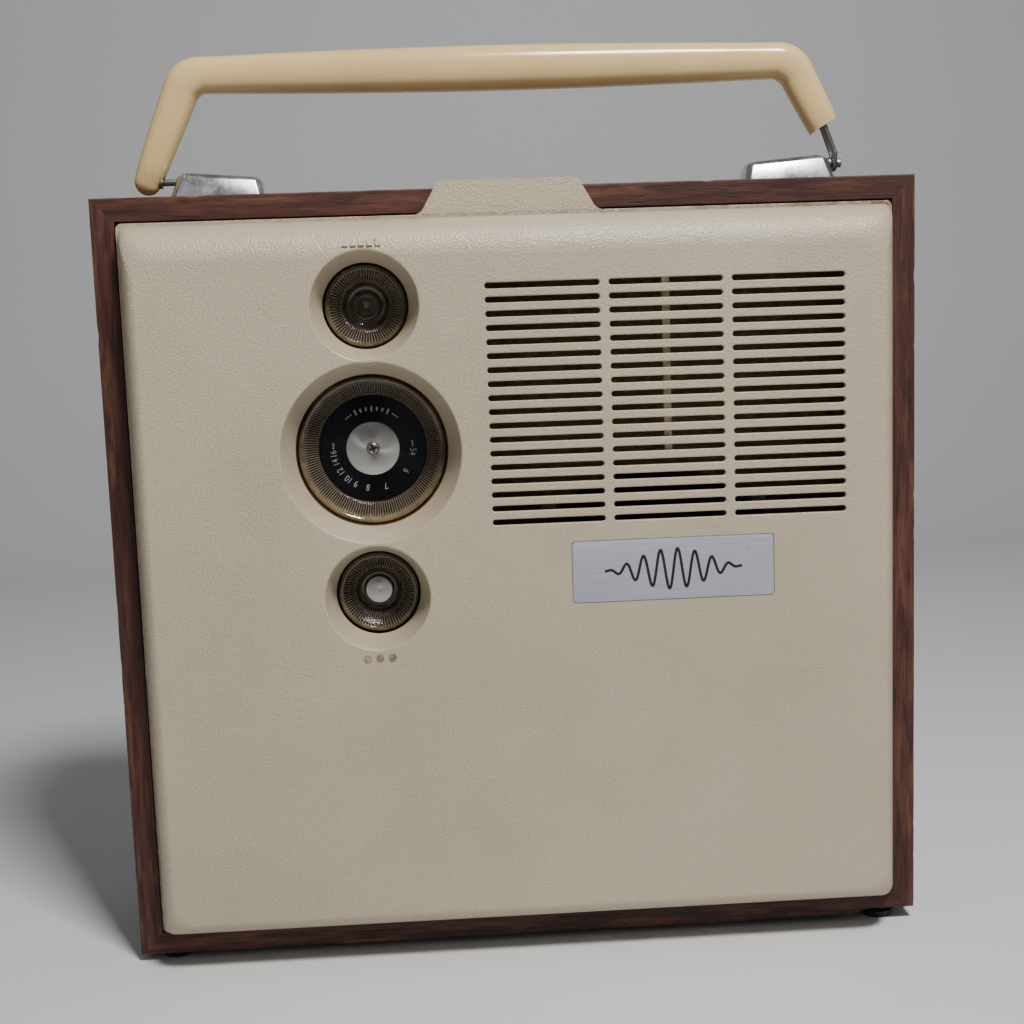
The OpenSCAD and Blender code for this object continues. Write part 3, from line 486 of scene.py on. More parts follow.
def add_weighted_normals(made):
    """Keeps large flat faces flat in the shading and lets the small ones round the edges."""
    shade = made.modifiers.new("shade", "WEIGHTED_NORMAL")
    shade.keep_sharp = True
    shade.weight = 80


def weigh_normals(made):
    smooth(made, 30)
    add_weighted_normals(made)
    apply_modifiers(made)


def set_attribute(made, name, value_at):
    """Stores a number from 0 to 1 at each vertex for the materials to read."""
    layer = made.data.attributes.get(name) or made.data.attributes.new(name, "FLOAT", "POINT")
    for i, vertex in enumerate(made.data.vertices):
        layer.data[i].value = min(max(value_at(vertex.co), 0.0), 1.0)


def prism(name, outline, y0, y1, *materials):
    """An outline of (x, z) points, extruded along Y."""
    count = len(outline)
    verts = [(x, y, z) for y in (y0, y1) for x, z in outline]
    faces = [tuple(range(count)), tuple(range(2 * count - 1, count - 1, -1))]
    faces += [(i, (i + 1) % count, count + (i + 1) % count, count + i) for i in range(count)]
    return build(name, verts, faces, *materials)


def band(count, a, b):
    """Faces between ring a and ring b, where each ring has count points."""
    pairs = [(i, (i + 1) % count) for i in range(count)]
    return [(a * count + i, a * count + j, b * count + j, b * count + i) for i, j in pairs]


def lid(count, a):
    """One face that fills ring a."""
    return tuple(range(a * count, (a + 1) * count))


def skin(rings):
    """Vertices and faces of a closed surface through rings with the same number of points."""
    count, last = len(rings[0]), len(rings) - 1
    verts = [point for ring in rings for point in ring]
    faces = [face for k in range(last) for face in band(count, k, k + 1)]
    return verts, faces + [lid(count, 0)[::-1], lid(count, last)]


def lathe(name, profile, centre, segments, *materials, shape=None):
    """A closed profile of (radius, depth) points turned about a line along Y through centre.

    The piece's origin is on that line, so that turned finishes follow it. shape may move a
    point: it takes the angle, radius and depth and returns a new radius and depth.
    """
    rings = []
    for step in range(segments):
        angle = TURN * step / segments
        ring = []
        for radius, depth in profile:
            if shape:
                radius, depth = shape(angle, radius, depth)
            ring.append((radius * math.cos(angle), depth, radius * math.sin(angle)))
        rings.append(ring)
    verts = [point for ring in rings for point in ring]
    faces = [face for k in range(segments) for face in band(len(profile), k, (k + 1) % segments)]
    made = build(name, verts, faces, *materials)
    made.location = centre
    face_outward(made, MERGE)
    return made


def arc(centre, radius, start, end, steps):
    """Points (a, b) on an arc, with angles in degrees."""
    angles = [math.radians(start + (end - start) * i / steps) for i in range(steps + 1)]
    return [(centre[0] + radius * math.cos(a), centre[1] + radius * math.sin(a)) for a in angles]


def rectangle(x0, x1, z0, z1):
    return [(x0, z0), (x1, z0), (x1, z1), (x0, z1)]


def circle(centre, radius, steps):
    return arc(centre, radius, 0, 360, steps)[:-1]


def rounded_outline(x0, x1, z0, z1, r, steps=6):
    """A rounded rectangle's points (x, z), starting at the lower right."""
    points = []
    for k, corner in enumerate(((x1 - r, z0 + r), (x1 - r, z1 - r), (x0 + r, z1 - r), (x0 + r, z0 + r))):
        points += arc(corner, r, 90 * k - 90, 90 * k, steps)
    return points


def polar(angle, radius=1.0):
    """A point (x, z) at an angle counted from three o'clock towards twelve."""
    return Vector((math.cos(angle), math.sin(angle))) * radius


# ---- Finish of a piece: smoothing, body and the CAD nodes it stands for ----

def place(made, body, slot, *nodes, degrees=35.0):
    smooth(made, degrees)
    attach(made, body)
    if nodes:
        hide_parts(*nodes)


def soften(node, width=0.0003, segments=2):
    """A CAD node that stays: welded, with edges rounded by width, and none rounded where it is 0."""
    made = NODES[node]
    weld = made.modifiers.new("weld", "WELD")
    weld.merge_threshold = MERGE
    if width:
        add_bevel(made, width, segments, 40)
        add_weighted_normals(made)


def dress_cad_nodes():
    for node, made in NODES.items():
        made.data.materials.clear()
        slot = SLOT_OF[node]
        if slot == "walnut":
            slot = "walnut_z" if "side" in node else "walnut_x"
        made.data.materials.append(MATERIALS[slot])
    for node in ("battery_tray", "transformers", "if_cans", "case_hinge_leaves", "cover_hinge_leaves",
                 "catch_clip", "catch_strike", "antenna_holders", "corner_blocks", "baffle_cleats"):
        soften(node)
    soften("battery_cells", 0.0008, 3)
    soften("rubber_feet", 0.0008, 3)
    soften("baffle_board", 0.0004)
    soften("back_cover", 0)


# ---- Camera, light and floor ----

def add_camera():
    """Stands a little left of the middle, looks slightly down and right, and is tilted a little."""
    data = bpy.data.cameras.new("camera")
    data.sensor_width = 36
    data.lens = 51.69
    made = new_object("camera", data)
    left, before, above = 0.0342, 0.5997, 0.2652
    down, aside, tilt = math.radians(7.574), math.radians(3.004), math.radians(-1.983)
    turn = Matrix.Rotation(-aside, 4, "Z") @ Matrix.Rotation(math.pi / 2 - down, 4, "X")
    turn = turn @ Matrix.Rotation(tilt, 4, "Z")
    made.matrix_world = Matrix.Translation((-left, FRONT - before, above)) @ turn
    bpy.context.scene.camera = made


def add_area_light(name, at, target, size, watts, colour):
    data = bpy.data.lights.new(name, "AREA")
    data.shape = "RECTANGLE"
    data.size, data.size_y = size
    data.energy = watts
    data.color = colour
    made = new_object(name, data)
    made.location = at
    made.rotation_euler = (Vector(target) - Vector(at)).to_track_quat("-Z", "Y").to_euler()


def add_stage():
    """Dim surroundings, a floor that curves up into a wall, one strong light and two weak ones."""
    world = bpy.data.worlds.new("world")
    bpy.context.scene.world = world
    world.use_nodes = True
    sky = world.node_tree.nodes["Background"].inputs
    sky["Color"].default_value = (0.78, 0.80, 0.84, 1)
    sky["Strength"].default_value = 0.14
    bend, nearest, wall, tall, half_wide = 0.35, -3.0, 1.3, 2.4, 4.0
    profile = [(nearest, 0.0)] + arc((wall - bend, bend), bend, -90, 0, 16) + [(wall, tall)]
    verts = [(x, y, z) for y, z in profile for x in (-half_wide, half_wide)]
    faces = [(2 * i, 2 * i + 1, 2 * i + 3, 2 * i + 2) for i in range(len(profile) - 1)]
    mesh = bpy.data.meshes.new("floor")
    mesh.from_pydata(verts, [], faces)
    floor = new_object("floor", mesh)
    s = Shader("floor")
    s.set(Base_Color=(0.70, 0.71, 0.72, 1), Roughness=0.55)
    mesh.materials.append(s.material)
    for face in mesh.polygons:
        face.use_smooth = True
    add_area_light("key", at=(0.24, -0.64, 1.18), target=(0, -0.03, 0.24), size=(0.26, 0.22),
                   watts=19, colour=(1.0, 0.985, 0.96))
    add_area_light("room", at=(-1.3, -1.7, 0.9), target=(0, 0, 0.18), size=(1.2, 1.2),
                   watts=1.7, colour=(1.0, 0.98, 0.95))
    add_area_light("far_side", at=(1.5, -1.2, 0.8), target=(0, 0, 0.15), size=(1.0, 1.2),
                   watts=1.5, colour=(0.94, 0.97, 1.0))


# ---- Wood case ----

def board(node, along, outward):
    """One mitred board with softened edges and small nicks along its outer corners.

    along is the unit vector of its length and outward the unit vector to the outside.
    """
    lo, hi = low(node), high(node)
    along, outward = Vector(along), Vector(outward)
    face = max(lo.dot(outward), hi.dot(outward))
    half = (hi - lo).dot(Vector([abs(c) for c in along])) / 2
    centre = (lo + hi) / 2
    section = board_section()
    stations = 330
    rings = []
    for k in range(stations + 1):
        t = -1 + 2 * k / stations
        ring = []
        for depth, down, outer in section:
            reach = half - down - 0.06 * MM
            point = centre + along * (t * reach)
            point += outward * (face - down - centre.dot(outward))
            point.y = depth
            if outer:
                loss = edge_loss(point)
                point -= outward * loss
                point.y += min(loss, 1 * MM) * (0.5 if depth < 0 else -0.5)
            ring.append(point)
        rings.append(ring)
    made = build("wood_" + node, *skin(rings), "walnut_x" if abs(along.x) else "walnut_z")

    def wear(co):
        near_out = 1 - rise(face - co.dot(outward), 0, 1.5 * MM)
        near_end = 1 - rise(min(co.y - FRONT, REAR - co.y), 0, 1.5 * MM)
        return 1.6 * near_out * near_end

    if node in ("bottom_board", "right_side_board"):
        carve(made, splinter())
    set_attribute(made, "wear", wear)
    place(made, "case", "walnut", node, degrees=50)
    weigh_normals(made)


def board_section():
    """Points (depth, distance below the outer face, is near the outer face) round a board."""
    outer_r, inner_r, steps = 0.6 * MM, 0.25 * MM, 4
    section = []
    for depth, down in ((FRONT, 0.0), (REAR, 0.0), (REAR, BOARD_T), (FRONT, BOARD_T)):
        toward_y = 1 if depth == FRONT else -1
        toward_n = 1 if down == 0.0 else -1
        r = outer_r if down == 0.0 else inner_r
        for i in range(steps + 1):
            a = math.pi / 2 * i / steps
            if (depth == FRONT) == (down == 0.0):
                a = math.pi / 2 - a
            section.append((
                depth + toward_y * r * (1 - math.sin(a)),
                down + toward_n * r * (1 - math.cos(a)),
                down == 0.0,
            ))
    return section


def edge_loss(point):
    """How much of the outer edge is worn away: a little everywhere and more in short nicks."""
    wave = 0.5 + 0.5 * noise.noise(point * 30)
    nick = max(noise.noise(point * 150 + Vector((7, 3, 1))) - 0.30, 0) * 1.1
    return (0.10 * wave + nick * wave) * MM


def splinter():
    """What has broken off under the case's lower right corner: a ragged shape to cut away."""
    start, full, deep = 138 * MM, 145 * MM, 22 * MM
    steps, layers = 40, 10
    rings = []
    for k in range(layers + 1):
        y = FRONT - 1 * MM + (deep + 1 * MM) * k / layers
        fade = 1 - max((y - FRONT) / deep, 0) ** 2
        top = []
        for i in range(steps + 1):
            x = start + (CASE_RIGHT + 2 * MM - start) * i / steps
            grow = rise(x, start, full) ** 0.7
            rough = noise.noise(Vector((x * 300, y * 260, 0))) * 0.45
            rough += noise.noise(Vector((x * 900, y * 700, 4))) * 0.2
            top.append((x, y, CASE_LOW - 0.4 * MM + (3.0 * grow + rough * grow) * fade * MM))
        rings.append(top + [(CASE_RIGHT + 2 * MM, y, CASE_LOW - 3 * MM), (start, y, CASE_LOW - 3 * MM)])
    return build("splinter", *skin(rings), "walnut_x")


def add_case():
    board("top_board", (1, 0, 0), (0, 0, 1))
    board("bottom_board", (1, 0, 0), (0, 0, -1))
    board("left_side_board", (0, 0, 1), (-1, 0, 0))
    board("right_side_board", (0, 0, 1), (1, 0, 0))


# ---- Front cover ----

def rounded_ring(x, z0, z1, r, y):
    """A rounded rectangle at depth y, from -x to x and z0 to z1."""
    return [(px, y, pz) for px, pz in rounded_outline(-x, x, z0, z1, r, 10)]


def crown_rings(shrink, steps):
    """Rings of the crown from its foot to its flat face, moved inward by shrink."""
    rings = []
    for i in range(steps + 1):
        a = math.pi / 2 * i / steps
        inset, out = 1 - math.cos(a), math.sin(a)
        r = max(CROWN_CORNER + 7 * MM * inset - shrink * 0.5, 2 * MM)
        rings.append(rounded_ring(
            COVER_X - LIP_W - shrink - (RUN_SIDE - shrink) * inset,
            COVER_LOW + LIP_W + shrink + (RUN_LOW - shrink) * inset,
            COVER_HIGH - LIP_W - shrink - (RUN_HIGH - shrink) * inset,
            r, LIP_Y - (CROWN_H - shrink) * out,
        ))
    return rings


def cover_shell():
    """The lip, the crown and the rim behind the lip, as one closed wall without its holes."""
    edge, lip_r, rim_t = 0.35 * MM, 2.4 * MM, 2 * MM
    back, inner_r = LIP_Y + LIP_T, max(CROWN_CORNER - WALL * 0.5, 2 * MM)

    def ring(inset, r, y):
        return rounded_ring(COVER_X - inset, COVER_LOW + inset, COVER_HIGH - inset, r, y)

    outside = [ring(0, lip_r, RIM_Y), ring(0, lip_r, LIP_Y + edge)]
    outside += [ring(edge * 0.3, lip_r, LIP_Y + edge * 0.3), ring(edge, lip_r, LIP_Y), *crown_rings(0, 16)]
    inside = [*reversed(crown_rings(WALL, 10)), ring(LIP_W + WALL, inner_r, back)]
    inside += [ring(rim_t, lip_r * 0.5, back), ring(rim_t, lip_r * 0.5, RIM_Y)]
    rings = outside + inside
    count, front = len(rings[0]), len(outside) - 1
    verts = [point for ring in rings for point in ring]
    faces = [lid(count, front), lid(count, front + 1)[::-1]]
    for k in range(len(rings)):
        if k != front:
            faces += band(count, k, (k + 1) % len(rings))
    return build("cover", verts, faces, "cover_plastic", "cover_smooth")


def slot_cutter():
    """All the grille's slots as one cutting shape, each flared at the front for a soft edge."""
    columns, rows = 3, 18
    pitch_x, pitch_z, length, slot_h = 49 * MM, 5.52 * MM, 45.5 * MM, 2.4 * MM
    left, lowest = -11.5 * MM, 183.6 * MM
    flare = 0.35 * MM
    depths = [(CROWN_Y - 1 * MM, flare + 1 * MM), (CROWN_Y + flare, 0.0), (CROWN_Y + WALL + 1 * MM, 0.0)]
    verts, faces = [], []
    for column in range(columns):
        for row in range(rows):
            cx, cz = left + column * pitch_x, lowest + row * pitch_z
            rings = []
            for depth, grow in depths:
                r = slot_h / 2 + grow
                ring = arc((cx + slot_h / 2, cz), r, 90, 270, 8)
                ring += arc((cx + length - slot_h / 2, cz), r, -90, 90, 8)
                rings.append([(px, depth, pz) for px, pz in ring])
            some, more = skin(rings)
            faces += [tuple(i + len(verts) for i in face) for face in more]
            verts += some
    return build("slot_cutter", verts, faces, "cover_plastic")


# For each well: its axis, the radius of its mouth and the radius of its floor.
WELLS = {
    "volume": (axis("volume_knob"), 21.2 * MM, 17.0 * MM),
    "tuning": (axis("tuning_knob"), 35.7 * MM, 30.7 * MM),
    "select": (axis("select_knob"), 20.9 * MM, 17.0 * MM),
}
WELL_ROUND = 0.9 * MM


def well(name, centre, mouth, inner):
    """A funnel with a rounded mouth that starts flush with the cover's face."""
    top = CROWN_Y
    slope = math.atan2(mouth - inner, WELL_FLOOR - top)
    turn = (mouth + WELL_ROUND, top + WELL_ROUND)
    profile = arc(turn, WELL_ROUND, 270, 180 + math.degrees(slope), 6)
    profile += [(inner + 0.15 * MM, WELL_FLOOR - 0.3 * MM), (inner + 0.5 * MM, WELL_FLOOR)]
    profile += [(inner + WALL, WELL_FLOOR), (mouth + WALL, top + WALL + 0.5 * MM)]
    profile += [(mouth + WELL_ROUND, top + WALL)]
    made = lathe("well_" + name, profile, centre, 128, "cover_plastic", "cover_smooth")
    for face in made.data.polygons:
        face.material_index = 1
    return made


def well_cutter(name, centre, mouth):
    outline = circle((centre.x, centre.z), mouth + WELL_ROUND, 128)
    return prism("cut_" + name, outline, CROWN_Y - 1 * MM, CROWN_Y + WALL + 1 * MM, "cover_plastic")


def tab():
    """The finger tab: coplanar with the lip, in front of the wood, with hollow curves at its foot."""
    foot, half_foot, half_top = COVER_HIGH, 38 * MM, 27.5 * MM
    head = COVER[1].z
    hollow, shoulder = 4.5 * MM, 4.0 * MM
    lean = math.degrees(math.atan2(head - foot - hollow, half_foot - hollow - half_top))
    right = arc((half_foot, foot + hollow), hollow, 270, 270 - lean, 6)
    right += arc((half_top - shoulder * 0.45, head - shoulder), shoulder, 90 - lean, 90, 6)
    outline = right + [(-x, z) for x, z in reversed(right)]
    made = prism("tab", outline, LIP_Y, LIP_Y + LIP_T, "cover_plastic")
    bevel(made, 0.45 * MM, 3, 50)
    return made


def volume_marks():
    """Rising bars on the crown's upper curve, above the volume well."""
    centre = WELLS["volume"][0]
    mark_z = centre.z + WELLS["volume"][1] + 3.3 * MM
    foot = COVER_HIGH - LIP_W
    a = math.acos(1 - (foot - mark_z) / RUN_HIGH)
    tilt = math.atan(CROWN_H * math.cos(a) / (RUN_HIGH * math.sin(a)))
    pieces = []
    bar_w = 2.2 * MM
    for i in range(5):
        x, tall = (-7.5 + i * 3.2) * MM, (1 + i * 0.6) * MM
        made = prism("mark", rectangle(x, x + bar_w, 0, tall), -2 * MARK_H, 0.8 * MM, "cover_plastic")
        bevel(made, 0.12 * MM, 2)
        made.data.transform(Matrix.Translation((centre.x, LIP_Y - CROWN_H * math.sin(a), mark_z))
                            @ Matrix.Rotation(-tilt, 4, "X") @ Matrix.Translation((0, 0, -1.7 * MM)))
        pieces.append(made)
    return pieces


DOT_PITCH, DOT_DROP = 5 * MM, 24.3 * MM


def select_marks():
    centre = WELLS["select"][0]
    pieces = []
    for i in (-1, 0, 1):
        outline = circle((centre.x + i * DOT_PITCH, centre.z - DOT_DROP), 1.5 * MM, 32)
        made = prism("dot", outline, CROWN_Y - MARK_H, CROWN_Y + 0.4 * MM, "cover_plastic")
        bevel(made, 0.08 * MM, 1)
        pieces.append(made)
    return pieces


def hinge_blocks(name, half, y0, y1, z0, z1):
    """A block at each of the cover's two hinges, in millimetres from the hinge line."""
    made = []
    for x in (-HINGE_X, HINGE_X):
        outline = rectangle(x - half * MM, x + half * MM, HINGE.z + z0 * MM, HINGE.z + z1 * MM)
        made.append(prism(name, outline, HINGE.y + y0 * MM, HINGE.y + y1 * MM, "cover_plastic"))
    return made


def add_front_cover():
    cover = cover_shell()
    for name, (centre, mouth, _) in WELLS.items():
        carve(cover, well_cutter(name, centre, mouth))
    carve(cover, slot_cutter())
    lo, hi, gap = low("nameplate"), high("nameplate"), 0.25 * MM
    recess = rounded_outline(lo.x - gap, hi.x + gap, lo.z - gap, hi.z + gap, 1.8 * MM)
    carve(cover, prism("recess", recess, CROWN_Y - 1 * MM, hi.y, "cover_plastic"))
    for pocket in hinge_blocks("hinge_pocket", 16, -1.55, 10, -3, 1.7):
        carve(cover, pocket)
    weigh_normals(cover)
    parts = [well(name, centre, mouth, inner) for name, (centre, mouth, inner) in WELLS.items()]
    parts += [tab(), *volume_marks(), *select_marks()]
    parts += [*hinge_blocks("boss", 15, -5, 0.45, 1.75, 14), grille_rib()]
    join(cover, *parts)
    cover.name = "front_cover_moulding"
    set_attribute(cover, "dirt_and_shade", cover_dirt_and_shade)
    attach(cover, "front_cover")
    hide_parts("front_cover")


RIB_X, RIB_HALF, RIB_LOW, RIB_HIGH = 60.25 * MM, 1.5 * MM, 208 * MM, 283 * MM


def grille_rib():
    """The thin upright rib behind the middle column of slots, deepest at the top."""
    back, deep = CROWN_Y + WALL - 0.3 * MM, 9 * MM
    side = ((back, RIB_LOW), (back, RIB_HIGH), (back + deep, RIB_HIGH))
    verts = [(RIB_X + half, y, z) for half in (-RIB_HALF, RIB_HALF) for y, z in side]
    faces = [(0, 1, 2), (5, 4, 3), (0, 3, 4, 1), (1, 4, 5, 2), (2, 5, 3, 0)]
    return build("rib", verts, faces, "cover_plastic")


def cover_dirt_and_shade(co):
    """Painted shade covers the three dots and the rib behind the slots. The lip and the rim behind it are
    darkened a little everywhere, more towards the top right and the lower corners, and the deep walls of
    the wells by a quarter.
    """
    if on_dot(co) or on_rib(co):
        # painted shade over the dots and the rib
        return 1.0
    if in_well(co):
        return 0.25
    if co.z > COVER_HIGH or co.y < LIP_Y - 4 * MM:
        return 0.0
    right_top = rise(co.x, 0, 120 * MM) * rise(co.z, 270 * MM, 300 * MM)
    corners = 1 - rise(math.hypot(abs(co.x) - COVER_X, co.z - COVER_LOW), 0, 35 * MM)
    return 0.25 + 0.75 * right_top + 0.8 * corners


def on_rib(co):
    beside = abs(co.x - RIB_X) < RIB_HALF + 0.1 * MM
    return beside and CROWN_Y + 1 * MM < co.y < LIP_Y and co.z > RIB_LOW - 1 * MM


def on_dot(co):
    """On and round the three raised dots, where shade is painted."""
    centre = WELLS["select"][0]
    if abs(co.z - centre.z + DOT_DROP) > 1.8 * MM or co.y > CROWN_Y + 1 * MM:
        return False
    return min(abs(co.x - centre.x - i * DOT_PITCH) for i in (-1, 0, 1)) < 1.8 * MM


def in_well(co):
    return any(
        math.hypot(co.x - centre.x, co.z - centre.z) < mouth and co.y > CROWN_Y + 3 * MM
        for centre, mouth, _ in WELLS.values()
    )


def add_nameplate():
    lo, hi = low("nameplate"), high("nameplate")
    outline = rounded_outline(lo.x, hi.x, lo.z, hi.z, 1.7 * MM)
    made = prism("satin_nameplate", outline, lo.y, hi.y, "nameplate_aluminium")
    bevel(made, 0.2 * MM, 2)
    place(made, "front_cover", "nameplate_aluminium", "nameplate")
    emblem(middle("nameplate"), lo.y)


def emblem(centre, face_y):
    """A generic carrier wave that swells and fades, as one raised black line."""
    length, tall, swings = 56 * MM, 8.2 * MM, 8
    steps = 440
    line = []
    for i in range(steps + 1):
        t = i / steps
        swell = math.sin(math.pi * t) ** 1.5
        line.append((centre.x + (t - 0.5) * length, centre.z + tall * swell * math.sin(TURN * swings * t)))
    half, top = 0.55 * MM, face_y - 0.045 * MM
    rings = []
    for i, (x, z) in enumerate(line):
        before, after = line[max(i - 1, 0)], line[min(i + 1, steps)]
        side = Vector((before[1] - after[1], after[0] - before[0])).normalized() * half
        corners = ((side, face_y), (-side, face_y), (-side, top), (side, top))
        rings.append([(x + out.x, y, z + out.y) for out, y in corners])
    made = build("nameplate_wave", *skin(rings), "emblem_black")
    place(made, "front_cover", "nameplate_aluminium")


def add_dust_seal():
    """The old seal behind the tuning well, with a ragged inner edge."""
    lo, hi = low("dust_seal"), high("dust_seal")
    inner, outer = WELLS["tuning"][2], half_width("dust_seal")
    profile = [(inner, lo.y), (outer, lo.y), (outer, hi.y), (inner, hi.y)]

    def ragged(angle, radius, depth):
        if radius > inner:
            return radius, depth
        spot = Vector((math.cos(angle), math.sin(angle), 0))
        tear = 0.5 + noise.noise(spot * 9) * 0.35 + noise.noise(spot * 30) * 0.15
        return radius - 0.25 * max(0.0, min(tear, 1.0)) * MM, depth

    made = lathe("ragged_dust_seal", profile, axis("dust_seal"), 360, "felt", shape=ragged)
    place(made, "front_cover", "felt", "dust_seal")


# ---- Knobs ----

def fluted(count, inner, outer, deep):
    """A shape rule for lathe: grooves on the dished front between two radii."""
    def shape(angle, radius, depth):
        if inner < radius < outer:
            edge = min((radius - inner) / (0.5 * MM), (outer - radius) / (0.5 * MM), 1)
            groove = deep * edge * (0.5 - 0.5 * math.cos(angle * count))
            depth += groove * 0.8
            radius += groove * 0.6
        return radius, depth
    return shape


def mark_knob(made, count, inner, outer, front, back):
    """Stores where the knob gets a painted highlight (ridges), painted shade (grooves) and amber towards
    the rim, with a painted glow there that is strongest at the bottom.
    """
    def on_flutes(co):
        radius = math.hypot(co.x, co.z)
        return inner - 0.1 * MM < radius < outer + 0.4 * MM and front < co.y < back

    def wave(co):
        return 0.5 - 0.5 * math.cos(math.atan2(co.z, co.x) * count)

    # amber all round the rim, plus a painted glow that grows towards the bottom
    def rim(co):
        return 0.3 + 0.6 * max(0.0, -math.sin(math.atan2(co.z, co.x) + 0.25))

    # painted shade in the grooves and painted highlight on the ridges
    set_attribute(made, "groove", lambda co: 0.7 * wave(co) if on_flutes(co) else 0.0)
    set_attribute(made, "ridge_highlight", lambda co: 0.38 * (1 - wave(co)) ** 3 if on_flutes(co) else 0.0)
    set_attribute(made, "amber", lambda co: rim(co) if math.hypot(co.x, co.z) > outer else 0.0)


def from_front(front, points):
    """A lathe's profile from points (radius, distance behind the front) in millimetres."""
    return [(r * MM, front + y * MM) for r, y in points]


def add_tuning_knob():
    """A clear dish: a rounded rim in front, a fluted cone inside it, and the dial's seat behind."""
    f = low("tuning_knob").y
    count, inner, outer = 160, 22.2 * MM, 27.0 * MM
    profile = from_front(f, [
        (1.5, 10.0), (21.9, 10.0), (22.0, 9.0), (22.05, 7.5),
        *((22.3 + 0.46 * i, 7.1 - 0.53 * i) for i in range(11)),
        (27.3, 1.3), (27.8, 0.7), (28.4, 0.2), (29.0, 0.02), (29.5, 0.15), (29.9, 0.55),
        (30.15, 1.1), (30.2, 1.9), (30.2, 10.3), (29.9, 10.6), (24.0, 10.6), (9.0, 10.6),
        (7.3, 10.75), (7.0, 11.1), (7.0, 13.4), (6.8, 13.6), (3.05, 13.6), (3.05, 10.8), (1.5, 10.8),
    ])
    made = lathe("fluted_tuning_knob", profile, axis("tuning_knob"), 8 * count, "amber_clear",
                 shape=fluted(count, inner, outer, 0.45 * MM))
    mark_knob(made, count, inner, outer, f + 1 * MM, f + 7.8 * MM)
    place(made, "tuning", "amber_clear", "tuning_knob", degrees=60)


def add_dial():
    centre = axis("dial_disc")
    front, back = low("dial_disc").y, high("dial_disc").y
    hole, r, edge = 1.6 * MM, half_width("dial_disc"), 0.15 * MM
    profile = [(hole, front), (r - edge, front), (r, front + edge), (r, back), (hole, back)]
    made = lathe("black_dial", profile, centre, 192, "dial_black")
    place(made, "tuning", "dial_black", "dial_disc")
    figures = {
        "54": 7, "6": 37, "7": 74, "8": 100, "9": 118, "10": 130.5, "12": 146, "14": 161, "16": 173.5,
    }
    pieces = [dial_figure(text, angle, centre, front) for text, angle in figures.items()]
    pieces += dial_ticks(centre, front)
    figures_piece = join(*pieces)
    figures_piece.name = "dial_figures"
    place(figures_piece, "tuning", "dial_black")


FIGURE_RADIUS = 16.3 * MM


def dial_figure(text, clockwise, centre, face_y):
    """One number with its top outward, clockwise from three o'clock as seen from the front."""
    curve = bpy.data.curves.new("figure_" + text, "FONT")
    curve.body = text
    curve.size = 3.8 * MM
    curve.align_x = "CENTER"
    curve.align_y = "CENTER"
    curve.extrude = 0.02 * MM
    curve.offset = -0.02 * MM
    activate(new_object("figure_" + text, curve))
    bpy.ops.object.convert(target="MESH")
    made = bpy.context.view_layer.objects.active
    angle = -math.radians(clockwise)
    upright = Matrix.Rotation(math.pi / 2, 4, "X")
    squeeze = Matrix.Scale(0.82, 4, (1, 0, 0))
    spin = Matrix.Rotation(-(angle - math.pi / 2), 4, "Y")
    x, z = polar(angle, FIGURE_RADIUS)
    made.data.transform(Matrix.Translation((centre.x + x, face_y - 0.03 * MM, centre.z + z))
                        @ spin @ upright @ squeeze)
    made.data.materials.clear()
    made.data.materials.append(MATERIALS["dial_white"])
    return made


def dial_ticks(centre, face_y):
    """Dots that stand at both ends of the scale and a short row of bars at its middle."""
    here = Vector((centre.x, centre.z))
    raised = face_y - 0.04 * MM
    pieces = []
    for clockwise in (-8, -5, -2, -50, -54, -58, 182, 185, 188, 230, 234, 238):
        outline = circle(here + polar(-math.radians(clockwise), FIGURE_RADIUS), 0.36 * MM, 12)
        pieces.append(prism("dial_dot", outline, raised, face_y, "dial_white"))
    for i in range(-3, 4):
        angle = math.radians(90 + i * 8)
        across = polar(angle + math.pi / 2, 0.32 * MM)
        tall = (1.5 if i % 3 else 2.3) * MM
        inner = here + polar(angle, FIGURE_RADIUS - tall / 2)
        outer = here + polar(angle, FIGURE_RADIUS + tall / 2)
        outline = [tuple(p) for p in (inner - across, inner + across, outer + across, outer - across)]
        pieces.append(prism("dial_bar", outline, raised, face_y, "dial_white"))
    return pieces


def add_disc_cap(name, node, body, hole):
    r, face = half_width(node), low(node).y
    back = face + 0.8 * MM
    profile = [(hole, face + 0.05 * MM), (hole + 0.4 * MM, face), (r - 0.35 * MM, face)]
    profile += [(r - 0.1 * MM, face + 0.1 * MM), (r, face + 0.3 * MM), (r, back), (hole, back)]
    made = lathe(name, profile, axis(node), 128, "spun_aluminium")
    place(made, body, "spun_aluminium", node)


def add_tuning_screw():
    """A domed screw head with a cross recess whose walls are painted black as painted shade."""
    top, tip, seat = low("tuning_screw").y, high("tuning_screw").y, low("tuning_cap").y
    r, shank = half_width("tuning_screw"), 1.4 * MM
    profile = from_front(top, [(0, 0), (0.9, 0.03), (1.7, 0.2), (2.3, 0.5)])
    profile += [(r, top + 0.9 * MM), (r, seat - 0.05 * MM), (r - 0.1 * MM, seat), (shank, seat)]
    profile += [(shank, tip), (0.0, tip)]
    made = lathe("cross_head_screw", profile, axis("tuning_screw"), 64, "steel")
    # black for the recess walls: painted shade
    made.data.materials.append(MATERIALS["transistor_black"])
    for turn in (0.35, 0.35 + math.pi / 2):
        along, across = polar(turn, 1.7 * MM), polar(turn + math.pi / 2, 0.42 * MM)
        outline = [tuple(p) for p in (-along - across, along - across, along + across, across - along)]
        cutter = prism("cross", outline, top - 1 * MM, top + 1 * MM, "steel", "transistor_black")
        for face in cutter.data.polygons:
            face.material_index = 1
        cutter.location = made.location
        carve(made, cutter)
    place(made, "tuning", "steel", "tuning_screw")


